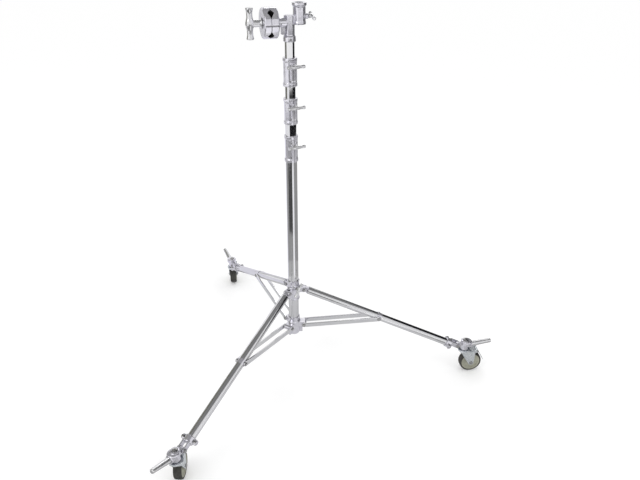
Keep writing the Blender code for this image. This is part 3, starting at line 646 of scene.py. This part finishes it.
def make_leg_collar():
    """The sliding casting: a polished upper sleeve over a three-armed spider."""
    bottom, top = levels("leg_collar")
    radius, height = LEG_PIVOT.x, LEG_PIVOT.z
    bm = bmesh.new()
    sleeve = [(0.0262, top), (0.0266, top - 0.0045), (0.0252, top - 0.0065),
              (0.0252, height + 0.015), (0.027, height + 0.013), (0.027, height - 0.0135),
              (0.0254, height - 0.0165), (0.0254, bottom + 0.007), (0.0268, bottom + 0.005),
              (0.0268, bottom)]
    add_turned(bm, sleeve, edge=0.0014)
    cutters = [bore(BASE_RADIUS + 0.0005, bottom - 0.02, top + 0.02)]
    ears = eye_outline((radius, height), 0.0113, 0.02)
    for arm in ARMS.values():
        add_block(bm, (0.02, -EAR_OUTER, height - 0.011), (0.032, EAR_OUTER, height + 0.011),
                  arm, 0.002)
        add_cheeks(bm, ears, EAR_INNER - 0.0003, EAR_OUTER - 0.0002, arm, 0.0009)
        cutters.append(slot((0.0325, -EAR_INNER + 0.0001, height - 0.03),
                            (0.07, EAR_INNER - 0.0001, height + 0.03), arm))
    boss = CLAMP @ move(0, 0, place_of("leg_collar_knob_turn").z) @ TOWARD_X
    add_rod(bm, 0.0128, 0.015, 0.036, boss, 0.002)
    cutters.append(bore(SCREW_BORE, 0.01, 0.042, boss))
    stand_in("leg_collar", "spider", cast("leg_collar", bm, cutters), "cast_silver", "leg_collar")
    add_pins("leg_pin", EAR_OUTER, "leg_collar", LEG_PIVOT)


def make_mast_foot():
    """The closed casting under the mast, with a lug for each pair of braces."""
    bottom, top = levels("mast_foot")
    radius, height = BRACE_PIVOT.x, BRACE_PIVOT.z
    half = BRACE_INNER - 0.0004
    bm = bmesh.new()
    sleeve = [(0.0262, top), (0.0266, top - 0.005), (0.0254, top - 0.007),
              (0.0254, height + 0.016), (0.027, height + 0.014), (0.027, bottom + 0.01),
              (0.0235, bottom + 0.002), (0.02, bottom)]
    add_turned(bm, sleeve, edge=0.0016)
    lug = eye_outline((radius, height), 0.0118, 0.01)
    for arm in ARMS.values():
        add_plate(bm, lug, -half, half, arm, 0.0015)
        add_block(bm, (0.015, -0.0045, bottom + 0.004), (0.038, 0.0045, height), arm, 0.002)
    mesh = cast("mast_foot", bm, [bore(BASE_RADIUS + 0.0002, bottom + 0.003, top + 0.02)])
    stand_in("mast_foot", "casting", mesh, "cast_silver", "mast")
    add_pins("brace_pin", BRACE_OUTER + 0.0003, "mast", BRACE_PIVOT)


# --- Legs ---
FLANGE_BOLT_REACH = SOCKET_START + 0.0125
FLANGE_BOLT_OFFSET = 0.029


def leg_place(label):
    """The leg's own axes: X runs down along the leg from its pivot."""
    return joint_axes(f"leg_{label}_fold") @ turn(degrees(SLOPE), "Y")


def leg_eye_mesh():
    """The forged eye that plugs the tube's inner end."""
    bm = bmesh.new()
    tongue = eye_outline((0, 0), 0.0108, 0.03)
    add_plate(bm, tongue, -EAR_INNER + 0.0004, EAR_INNER - 0.0004, edge=0.0012)
    add_rod(bm, LEG_RADIUS - 0.0004, LEG_START - 0.0028, LEG_START - 0.0001, TOWARD_X, 0.001,
            SEGMENTS)
    add_rod(bm, LEG_RADIUS - LEG_WALL - 0.0002, LEG_START - 0.001, 0.045, TOWARD_X,
            segments=SEGMENTS)
    return cast("leg_eye", bm, [pin_bore(0.0043)], 0.0007, 2)


def foot_socket_mesh(hinge):
    """The outer clamp: a bolted split socket with two ears for the yoke."""
    start = SOCKET_START
    end = hinge.x - 0.03
    bm = bmesh.new()
    body = [(0.017, end + 0.002), (0.0212, end - 0.003), (0.0218, start + 0.0015),
            (0.0206, start)]
    add_turned(bm, body, TOWARD_X, edge=0.0016)
    wing = round_outline(start + 0.002, -0.0355, end - 0.004, 0.0355, 0.006, 5)
    add_plate(bm, wing, -0.0062, 0.0062, turn(90, "X"), 0.0014)
    ears = eye_outline((hinge.x, hinge.z), 0.0108, end - 0.006)
    add_cheeks(bm, ears, EAR_INNER + 0.001, EAR_OUTER + 0.0014, edge=0.001)
    for side in (-1, 1):
        boss = move(FLANGE_BOLT_REACH, side * FLANGE_BOLT_OFFSET, 0)
        add_rod(bm, 0.0068, -0.0072, 0.0072, boss, 0.001)
    cutters = [
        bore(LEG_RADIUS + 0.0002, start - 0.02, LEG_END + 0.0003, TOWARD_X),
        slot((start - 0.01, -0.05, -0.0006), (end - 0.007, 0.05, 0.0006)),
        pin_bore(0.0046, move(hinge.x, 0, hinge.z)),
    ]
    return cast("foot_socket", bm, cutters, FINE_VOXEL, 2)


def flange_bolt_mesh():
    bm = bmesh.new()
    for facing in (IDENTITY, turn(180, "X")):
        add_rod(bm, 0.0062, 0.0066, 0.0078, facing, 0.0003)
        add_hex(bm, 0.01, 0.0076, 0.0103, facing)
    add_rod(bm, 0.0032, -0.01, 0.01)
    return machined("flange_bolt", bm)


def make_legs():
    bm = add_sleeve(bmesh.new(), LEG_RADIUS, LEG_RADIUS - LEG_WALL, LEG_START, LEG_END, TOWARD_X)
    tube, eye = machined("leg_tube", bm), leg_eye_mesh()
    bm = add_sleeve(bmesh.new(), BRACE_INNER - 0.0003, LEG_RADIUS + 0.0003, -0.011, 0.011,
                    TOWARD_X, 0.0003)
    saddle = machined("saddle", bm)
    hinge = leg_place("right").inverted() @ HINGE
    socket, flange_bolt = foot_socket_mesh(hinge), flange_bolt_mesh()
    hinge_bolt = bolt_mesh("foot_hinge_bolt", EAR_OUTER + 0.0018, across=0.0145)
    for label in LEGS:
        body, place = "leg_" + label, leg_place(label)
        stand_in("leg_tube_" + label, "polished", tube, "chrome_bar", body, place)
        add_piece("leg_eye_" + label, eye, "cast_silver", body, place)
        stand_in("leg_saddle_" + label, "band", saddle, "cast_silver", body,
                 place @ move(SADDLE_REACH, 0, 0))
        stand_in("foot_socket_" + label, "casting", socket, "cast_silver", body, place)
        stand_in("foot_hinge_bolt_" + label, "hex", hinge_bolt, "bolt_steel", body,
                 place @ move(hinge.x, 0, hinge.z))
        for number, side in ((1, -1), (2, 1)):
            spot = place @ move(FLANGE_BOLT_REACH, side * FLANGE_BOLT_OFFSET, 0)
            add_piece(f"flange_bolt_{label}_{number}", flange_bolt, "bolt_steel", body, spot)


def make_braces():
    """A flat bar on each side of a leg's saddle, with a domed stud through its outer end."""
    outline = arc((0, 0), 0.01, 90, 270) + arc((BRACE_LENGTH, 0), 0.01, -90, 90)
    face = BRACE_OUTER
    dome = [(0.0, face + 0.005), (0.0035, face + 0.0046), (0.0058, face + 0.003),
            (0.0064, face + 0.0009)]
    for number, side, facing in ((1, -1, AWAY_Y), (2, 1, TOWARD_Y)):
        near = side * BRACE_OFFSET - BAR_THICKNESS / 2
        bm = add_plate(bmesh.new(), outline, near, near + BAR_THICKNESS, edge=0.0011)
        bar = machined(f"brace_bar_{number}", bm)
        bm = bmesh.new()
        place = move(BRACE_LENGTH, 0, 0) @ facing
        add_rod(bm, 0.008, face - 0.0001, face + 0.0011, place, 0.0003)
        add_turned(bm, dome, place, SMALL_SEGMENTS, 0.0015, 4)
        stud = machined(f"brace_stud_{number}", bm)
        for label in LEGS:
            body = "brace_" + label
            spot = joint_axes(body + "_fold") @ turn(-degrees(BRACE_RISE), "Y")
            stand_in(f"brace_bar_{label}_{number}", "flat", bar, "chrome_bar", body, spot)
            add_piece(f"brace_stud_{label}_{number}", stud, "bolt_steel", body, spot)


# --- Casters ---
FOOT_BAR_RADIUS = extent("foot_bar_right").y / 2
FOOT_BAR_TILT = 15          # degrees
FOOT_BAR_DROP = 0.0016      # of the bar's line below the hinge, at the swivel
FOOT_BAR_LEAN = move(STEM, 0, -FOOT_BAR_DROP) @ turn(-FOOT_BAR_TILT, "Y") @ TOWARD_X
YOKE_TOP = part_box("caster_yoke_right")[1].z - 0.006 - HINGE.z
DRUM_RADIUS = extent("caster_yoke_right").y / 2
DRUM_SPAN = (0.1435, 0.1655)
DRUM_OFFSET = 0.0085


def yoke_mesh():
    """The casting that stands the caster upright and holds the foot bar."""
    low, high = HUB_BOTTOM - HINGE.z, YOKE_TOP
    stem = move(STEM, 0, 0)
    bm = bmesh.new()
    hub = [(0.014, high + 0.0005), (0.018, high - 0.001), (0.0186, high - 0.006),
           (0.0176, high - 0.012), (0.0176, low + 0.01), (0.0188, low + 0.006), (0.0188, low)]
    add_turned(bm, hub, stem, edge=0.002)
    drum_low, drum_high = (level - HINGE.z for level in DRUM_SPAN)
    radius = DRUM_RADIUS
    drum = [(radius - 0.003, drum_high), (radius, drum_high - 0.005),
            (radius, drum_low + 0.0035), (radius - 0.003, drum_low)]
    add_turned(bm, drum, move(STEM + DRUM_OFFSET, 0, 0), edge=0.0022)
    tongue = eye_outline((0, 0), 0.0103, STEM)
    add_plate(bm, tongue, -EAR_INNER + 0.0004, EAR_INNER - 0.0004, edge=0.0012)
    radius = FOOT_BAR_RADIUS + 0.004
    boss = [(radius - 0.0012, 0.034), (radius, 0.0325), (radius, 0.024),
            (radius - 0.001, 0.021), (radius - 0.001, 0.0)]
    add_turned(bm, boss, FOOT_BAR_LEAN, edge=0.0014)
    cutters = [
        pin_bore(0.0044),
        bore(FOOT_BAR_RADIUS + 0.0002, 0.0195, 0.06, FOOT_BAR_LEAN),
        bore(0.0065, low - 0.01, low + 0.04, stem),
    ]
    return cast("caster_yoke", bm, cutters, FINE_VOXEL, 2)


def stem_nut_mesh():
    low = YOKE_TOP
    place = move(STEM, 0, 0)
    bm = bmesh.new()
    add_rod(bm, 0.0112, low, low + 0.0012, place, 0.0003)
    add_hex(bm, 0.017, low + 0.001, low + 0.005, place)
    add_rod(bm, 0.0045, low + 0.0045, low + 0.006, place)
    return machined("stem_nut", bm)


def foot_bar_mesh():
    length = 0.118
    root, tip = FOOT_BAR_RADIUS, FOOT_BAR_RADIUS * 0.75
    bar = [(tip - 0.003, length), (tip - 0.0003, length - 0.0022), (tip, length - 0.006),
           (root - 0.0007, 0.045), (root - 0.0004, 0.04), (root, 0.02)]
    return machined("foot_bar", add_turned(bmesh.new(), bar, FOOT_BAR_LEAN, edge=0.0025, steps=4))


def fork_mesh():
    """Pressed steel: a swivel crown, a top plate and two V-shaped cheeks."""
    crown_low = CROWN_TOP - 0.007
    plate_low = crown_low - 0.005
    bm = bmesh.new()
    crown = [(0.0262, CROWN_TOP), (0.0278, CROWN_TOP - 0.0014), (0.0278, CROWN_TOP - 0.003),
             (0.0262, CROWN_TOP - 0.0038), (0.0278, CROWN_TOP - 0.005),
             (0.027, crown_low - 0.001)]
    add_turned(bm, crown, edge=0.0005, steps=2)
    add_rod(bm, 0.006, crown_low, CROWN_TOP + 0.038)
    top = round_outline(-0.02, -0.0213, 0.0545, 0.0213, 0.004)
    lift = move(0, 0, crown_low - 0.0025) @ turn(90, "X")
    add_plate(bm, top, -0.0025, 0.0025, lift, 0.0009)
    cheek = [(-0.0145, plate_low + 0.002), (-0.0145, plate_low - 0.002),
             *arc((TRAIL, WHEEL_CENTRE), 0.0128, 205, 345),
             (0.0495, plate_low - 0.004), (0.0495, plate_low + 0.002)]
    add_cheeks(bm, cheek, 0.0185, 0.0214, edge=0.0006)
    ear = round_outline(0.048, PEDAL_HEIGHT - 0.0058, 0.064, PEDAL_HEIGHT + 0.0048, 0.0035)
    add_cheeks(bm, ear, 0.0155, 0.0212, edge=0.0006)
    cutters = [
        slot((0.0553, -0.0153, 0.09), (0.08, 0.0153, 0.13)),
        pin_bore(0.0044, move(TRAIL, 0, WHEEL_CENTRE)),
    ]
    return cast("caster_fork", bm, cutters, FINE_VOXEL, 1)


def wheel_meshes():
    """The rubber tyre, the moulded wheel with its stepped dish, and the bearing's steel face."""
    radius, half, seat = WHEEL_CENTRE, 0.016, 0.0428
    tyre = [(seat, half), (radius - 0.0032, half), (radius - 0.0008, half - 0.003),
            (radius, half - 0.008)]
    dish = [(0.0105, half + 0.0008), (0.014, half + 0.0008), (0.016, half - 0.001),
            (0.0175, half - 0.0042), (0.033, half - 0.0042), (0.0345, half - 0.0012),
            (0.0395, half - 0.0006), (0.0425, half - 0.0012)]
    face = [(0.0048, half + 0.0004), (0.0075, half + 0.0004), (0.0075, half - 0.0004),
            (0.009, half - 0.0004), (0.009, half + 0.0004), (0.0104, half + 0.0004)]
    parts = (("caster_tyre", tyre, SEGMENTS, 0.0016), ("caster_hub", dish, SEGMENTS, 0.0009),
             ("wheel_bearing", face, SMALL_SEGMENTS, 0.0))
    return [machined(name, add_turned(bmesh.new(), mirrored(section), TOWARD_Y, segments, edge,
                                      ring=True))
            for name, section, segments, edge in parts]


def pedal_mesh():
    """A stamped brake pedal that curls round its pin, with pressed ridges near its toe."""
    bm = bmesh.new()
    add_rod(bm, 0.0041, -0.0147, 0.0147, TOWARD_Y, 0.0005)
    slope = turn(61, "Y")
    blade = soften([(0.0, 0.0018), (0.048, 0.0018), (0.0635, 0.002), (0.0635, 0.0041),
                    (0.048, 0.0041), (0.0, 0.0041)], 0.001, 3, True)
    add_plate(bm, blade, -0.0146, 0.0146, slope, 0.0006)
    for reach in (0.044, 0.05, 0.056):
        ridge = slope @ move(reach, 0, 0.0036) @ TOWARD_Y
        add_rod(bm, 0.0011, -0.011, 0.011, ridge, 0.0005, 16)
    return cast("brake_pedal", bm, [pin_bore(0.0024)], SMALL_VOXEL, 1)


def make_casters():
    yoke, nut, foot_bar = yoke_mesh(), stem_nut_mesh(), foot_bar_mesh()
    fork, pedal = fork_mesh(), pedal_mesh()
    rubber, dish, bearing = wheel_meshes()
    axle = bolt_mesh("caster_axle", 0.0218)
    pin = bolt_mesh("pedal_pin", 0.0213, 0.0019, 0.0066, 0.0016)
    for label in LEGS:
        body = "yoke_" + label
        place = joint_axes(body + "_level")
        stand_in("caster_yoke_" + label, "casting", yoke, "cast_silver", body, place)
        add_piece("stem_nut_" + label, nut, "bolt_steel", body, place)
        bar = foot_bar.copy()
        bar.transform(place)
        stand_in("foot_bar_" + label, "tapered", bar, "chrome_satin", body)
        body, rolling = "caster_" + label, "wheel_" + label
        stem = place_of(body + "_swivel")
        caster = move(stem.x, stem.y, 0) @ turn(azimuth_across(rolling + "_spin"), "Z")
        stand_in("caster_fork_" + label, "pressed", fork, "zinc", body, caster)
        wheel = joint_axes(rolling + "_spin")
        stand_in("caster_axle_" + label, "bolt", axle, "bolt_steel", body, wheel)
        stand_in("caster_tyre_" + label, "rubber", rubber, "tread", rolling, wheel)
        stand_in("caster_hub_" + label, "dish", dish, "wheel", rolling, wheel)
        add_piece("wheel_bearing_" + label, bearing, "bolt_steel", rolling, wheel)
        lever = caster @ move(PEDAL_TRAIL, 0, PEDAL_HEIGHT)
        stand_in("brake_pedal_" + label, "stamped", pedal, "zinc", "pedal_" + label, lever)
        add_piece("pedal_pin_" + label, pin, "bolt_steel", body, lever)


# --- Head casting and grip head ---
RECEIVER_OFFSET = 0.036     # the receiver's axis from the mast's
SET_SCREW_AZIMUTHS = (-75, 105)
SPINDLE = 0.006             # radius
SPINDLE_BORE = 0.0065
JAW_OFFSET = 0.036          # each jaw's distance from the spindle
JAW_HALF = 0.01202          # half the diagonal of a jaw's square hole


def make_head():
    """The top casting: riser socket, receiver with its rim, and the grip head's barrel."""
    bottom, rim_top = levels("head_casting")
    rim_top -= 0.0001       # so that the rounded rim stays in its CAD box
    top = bottom + 0.088
    side = turn(RECEIVER_AZIMUTH, "Z")
    radius, rim = 0.0221, 0.0259
    receiver_low = rim_top - 0.072
    bm = bmesh.new()
    socket = [(0.0178, top), (0.0189, top - 0.0012), (0.0189, bottom + 0.021),
              (0.0222, bottom + 0.0165), (0.0224, bottom + 0.001), (0.0216, bottom)]
    add_turned(bm, socket, edge=0.0014)
    receiver = [(rim - 0.0008, rim_top), (rim, rim_top - 0.001), (rim, rim_top - 0.009),
                (radius, rim_top - 0.013), (radius, receiver_low + 0.011),
                (radius + 0.0012, receiver_low + 0.008), (radius + 0.0012, receiver_low + 0.001),
                (radius, receiver_low)]
    receiver_axis = side @ move(RECEIVER_OFFSET, 0, 0)
    add_turned(bm, receiver, receiver_axis, edge=0.001)
    add_block(bm, (0.0, -0.0118, receiver_low + 0.004), (RECEIVER_OFFSET, 0.0118, top - 0.004),
              side, 0.003)
    boss = side @ move(0, 0, place_of("receiver_knob_turn").z) @ TOWARD_X
    add_rod(bm, 0.0094, RECEIVER_OFFSET, RECEIVER_OFFSET + 0.0312, boss, 0.0012)
    barrel = side @ move(0, 0, GRIP_HEIGHT) @ TOWARD_X
    sleeve = [(0.0168, 0.0), (0.015, -0.03), (0.0168, -0.0345), (0.0168, -0.0443)]
    add_turned(bm, sleeve, barrel, edge=0.0012)
    add_block(bm, (-0.03, -0.008, bottom + 0.024), (0.0, 0.008, GRIP_HEIGHT), side, 0.0022)
    cutters = [
        bore(TUBE_RADII[3] + 0.0002, bottom - 0.02, bottom + 0.0502),
        bore(0.0142, rim_top - 0.067, rim_top + 0.02, receiver_axis),
        bore(SCREW_BORE, RECEIVER_OFFSET, RECEIVER_OFFSET + 0.05, boss),
        bore(SPINDLE_BORE, -0.06, 0.013, barrel),
    ]
    mesh = cast("head_casting", bm, cutters, FINE_VOXEL, 5)
    stand_in("head_casting", "machined", mesh, "cast_silver", "riser_3")
    screw = cap_screw_mesh("set_screw", 0.0038, 0.0022)
    for number, azimuth in enumerate(SET_SCREW_AZIMUTHS, 1):
        place = turn(azimuth, "Z") @ move(0.0222, 0, bottom + 0.009) @ TOWARD_X
        add_piece(f"head_set_screw_{number}", screw, "bolt_steel", "riser_3", place)


def grip_plate_mesh(name, profile, parting):
    """A turned disc with a V-groove for each jaw and a clear hole for the spindle."""
    bm = add_turned(bmesh.new(), profile, TOWARD_X, 128, 0.0008)
    cutters = [bore(SPINDLE_BORE, 0.0, 0.2, TOWARD_X)]
    for side in (-1, 1):
        groove = move(parting, side * JAW_OFFSET, 0)
        cutters.append(add_rod(bmesh.new(), JAW_HALF, -0.07, 0.07, groove, 0.0, 4))
    mesh = machined(name, bm, cutters)
    mesh.materials.append(MATERIALS["cast_silver"])
    mesh.materials.append(MATERIALS["jaw_shade_black"])
    # The faces of the jaw grooves take the near-black painted shade.
    for face in mesh.polygons:
        from_corner = abs(face.center.x - parting) + abs(abs(face.center.y) - JAW_OFFSET)
        if abs(from_corner - JAW_HALF) < 0.0001:
            face.material_index = 1
    return mesh


def make_grip_head():
    """Two clamping discs on a spindle, and the big T-handle that closes them."""
    place = move(0, 0, GRIP_HEIGHT) @ turn(GRIP_AZIMUTH, "Z")
    near = 0.045
    parting = place_of("grip_head_swivel").xy.length
    disc = extent("grip_front_plate").z / 2
    lean = radians(RECEIVER_AZIMUTH)
    far = (-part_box("grip_front_plate")[0].x - (disc - 0.0035) * sin(lean)) / cos(lean)
    back = [(disc - 0.0008, parting - 0.0003), (disc, parting - 0.0012), (disc, near + 0.0034),
            (disc - 0.0034, near)]
    front = [(0.02, far - 0.0014), (0.0206, far), (disc - 0.0034, far), (disc, far - 0.0034),
             (disc, parting + 0.0012), (disc - 0.0008, parting + 0.0003)]
    for word, profile, body in (("back", back, "grip_head"), ("front", front, "grip_front")):
        mesh = grip_plate_mesh("grip_" + word, profile, parting)
        stand_in(f"grip_{word}_plate", "disc", mesh, "cast_silver", body, place)
    bm = bmesh.new()
    add_rod(bm, SPINDLE, -0.012, 0.07, TOWARD_X)
    add_turned(bm, thread_profile(SPINDLE, 0.069, far + 0.03, 0.0015), TOWARD_X, SMALL_SEGMENTS)
    stand_in("grip_spindle", "threaded", machined("grip_spindle", bm), "bolt_steel", "grip_head",
             place)
    half, bar = 0.052, 0.1385
    bm = bmesh.new()
    flare = mirrored([(0.012, half), (0.0132, half - 0.0015), (0.0128, half - 0.006),
                      (0.0104, half - 0.015), (0.0106, 0.02), (0.0148, 0.006)])
    add_turned(bm, flare, move(bar, 0, 0), 64, 0.0045, 5)
    stem = [(0.0122, bar), (0.012, far + 0.006), (0.0138, far + 0.004),
            (0.0184, far + 0.0034), (0.0184, far + 0.0002)]
    add_turned(bm, stem, TOWARD_X, 64, 0.001)
    cutters = [
        bore(0.0066, far - 0.01, bar - 0.008, TOWARD_X),
        bore(0.0055, bar + 0.006, bar + 0.03, TOWARD_X),
    ]
    handle = cast("grip_handle", bm, cutters, FINE_VOXEL)
    stand_in("grip_handle", "t_bar", handle, "chrome_handle", "grip_handle", place)


# --- Stage ---
WHITE = (1.0, 1.0, 1.0, 1.0)
FLOOR_LEVEL = -0.002
CARD_LEVEL = -0.0015
GREYS = {
    "bright": (0.95, 0.95, 0.97), "lavender": (0.76, 0.75, 0.82), "light": (0.72, 0.72, 0.73),
    "pale": (0.62, 0.62, 0.63), "soft": (0.44, 0.44, 0.44), "mid": (0.31, 0.31, 0.31),
    "dusk": (0.2, 0.2, 0.2), "olive": (0.17, 0.17, 0.14), "dim": (0.07, 0.07, 0.07),
    "black": (0.012, 0.012, 0.014),
}
# name, inner and outer radius, first and last azimuth, grey
FLOOR_CARDS = (
    ("card_under", 0.0, 0.74, 0, 360, "pale"),
    ("card_next_front", 0.74, 0.94, 205, 285, "soft"),
    ("card_next_round", 0.74, 0.94, -42, 92, "soft"),
    ("card_next_left", 0.74, 0.94, 155, 205, "soft"),
    ("card_inner_front", 0.94, 1.4, 205, 285, "mid"),
    ("card_inner_streak", 0.74, 3.9, 285, 318, "bright"),
    ("card_inner_round", 0.94, 3.9, -42, 92, "mid"),
    ("card_inner_left", 0.94, 3.9, 155, 205, "mid"),
    ("card_outer_front", 1.4, 3.9, 205, 285, "dim"),
    ("card_back_leg", 0.74, 9.0, 92, 155, "lavender"),
    ("card_far_left", 3.9, 9.0, 155, 250, "bright"),
    ("card_far_right", 3.9, 9.0, -110, 64, "black"),
    ("card_far_back", 3.9, 9.0, 64, 92, "pale"),
)
# name, radius, bottom, top, first and last azimuth, grey
WALL_CARDS = (
    ("wall_right", 3.95, 0.0, 4.1, -12, 64, "black"),
    ("wall_front", 3.95, 1.3, 4.1, -112, -12, "light"),
    ("wall_back", 6.0, 0.0, 1.6, 64, 128, "pale"),
    ("wall_left", 4.0, 0.3, 4.6, 142, 200, "olive"),
)


def stage_material(name, color, glow=0.0):
    material = bpy.data.materials.new(name)
    material.use_nodes = True
    inputs = material.node_tree.nodes["Principled BSDF"].inputs
    inputs["Base Color"].default_value = (*color, 1.0)
    inputs["Roughness"].default_value = 0.9
    inputs["Specular IOR Level"].default_value = 0.0
    inputs["Emission Color"].default_value = WHITE
    inputs["Emission Strength"].default_value = glow
    return material


def stage_object(name, bm, material):
    mesh = bpy.data.meshes.new(name)
    bm.to_mesh(mesh)
    bm.free()
    mesh.materials.append(material)
    obj = linked(name, mesh)
    return obj


def circle(radius, centre, segments):
    bm = bmesh.new()
    bmesh.ops.create_circle(bm, cap_ends=True, segments=segments, radius=radius,
                            matrix=move(*centre))
    return bm


def only_reflected(card):
    """Makes a card that the chrome mirrors and nothing else sees."""
    card.visible_camera = False
    card.visible_diffuse = False
    card.visible_transmission = False
    card.visible_volume_scatter = False
    card.visible_shadow = False


def arc_card(name, rims, start, end, material, steps=24):
    """A strip between two (radius, height) rims; the angles are azimuths in degrees."""
    bm = bmesh.new()
    near, far = ([bm.verts.new((x, y, height)) for x, y in arc((0, 0), radius, start, end, steps)]
                 for radius, height in rims)
    for step in range(steps):
        bm.faces.new([near[step], far[step], far[step + 1], near[step + 1]])
    only_reflected(stage_object(name, bm, material))


def area_light(name, place, target, size, energy):
    data = bpy.data.lights.new(name, "AREA")
    data.shape = "RECTANGLE"
    data.size, data.size_y = size
    data.energy = energy
    light = linked(name, data)
    light.location = place
    light.rotation_euler = (Vector(target) - Vector(place)).to_track_quat("-Z", "Y").to_euler()
    return light


def make_stage():
    greys = {name: stage_material("card_" + name, color) for name, color in GREYS.items()}
    floor_white = stage_material("floor_white", (0.93, 0.93, 0.93), glow=0.14)
    stage_object("floor", circle(40.0, (0, 0, FLOOR_LEVEL), 96), floor_white)
    for name, inner, outer, start, end, grey in FLOOR_CARDS:
        arc_card(name, ((inner, CARD_LEVEL), (outer, CARD_LEVEL)), start, end, greys[grey])
    for name, radius, bottom, top, start, end, grey in WALL_CARDS:
        arc_card(name, ((radius, bottom), (radius, top)), start, end, greys[grey])
    only_reflected(stage_object("ceiling", circle(3.8, (0.1, 0.2, 4.0), 48), greys["dusk"]))
    world = bpy.data.worlds.new("studio")
    bpy.context.scene.world = world
    world.use_nodes = True
    inputs = world.node_tree.nodes["Background"].inputs
    inputs["Color"].default_value = WHITE
    inputs["Strength"].default_value = 0.92
    area_light("key_softbox", (-2.2, -2.4, 3.4), (0, 0, 0.8), (1.4, 1.4), 14.0)
    fill = area_light("fill_softbox", (2.6, -1.6, 2.8), (0, 0, 0.6), (0.8, 1.6), 7.0)
    fill.visible_glossy = False
    area_light("rim_softbox", (0.4, 2.6, 3.2), (0, 0, 0.8), (1.6, 0.5), 7.0)


CAMERA_PLACE = (0.1609, -2.1815, 1.8839)
CAMERA_AZIMUTH = 1.25       # degrees, like the next two
CAMERA_DOWN = 29.08
CAMERA_ROLL = 0.52
CAMERA_LENS = 33.9          # mm, on the sensor below
CAMERA_SENSOR = 36.0


def make_camera():
    data = bpy.data.cameras.new("camera")
    data.sensor_width = CAMERA_SENSOR
    data.lens = CAMERA_LENS
    camera = linked("camera", data)
    aim = turn(CAMERA_AZIMUTH, "Z") @ turn(90 - CAMERA_DOWN, "X") @ turn(CAMERA_ROLL, "Z")
    camera.matrix_world = move(*CAMERA_PLACE) @ aim
    bpy.context.scene.camera = camera


# --- The whole scene ---
make_camera()
make_stage()
make_tubes()
make_collars()
make_knobs()
make_leg_collar()
make_mast_foot()
make_legs()
make_braces()
make_casters()
make_head()
make_grip_head()
bpy.context.scene.view_settings.view_transform = "Standard"
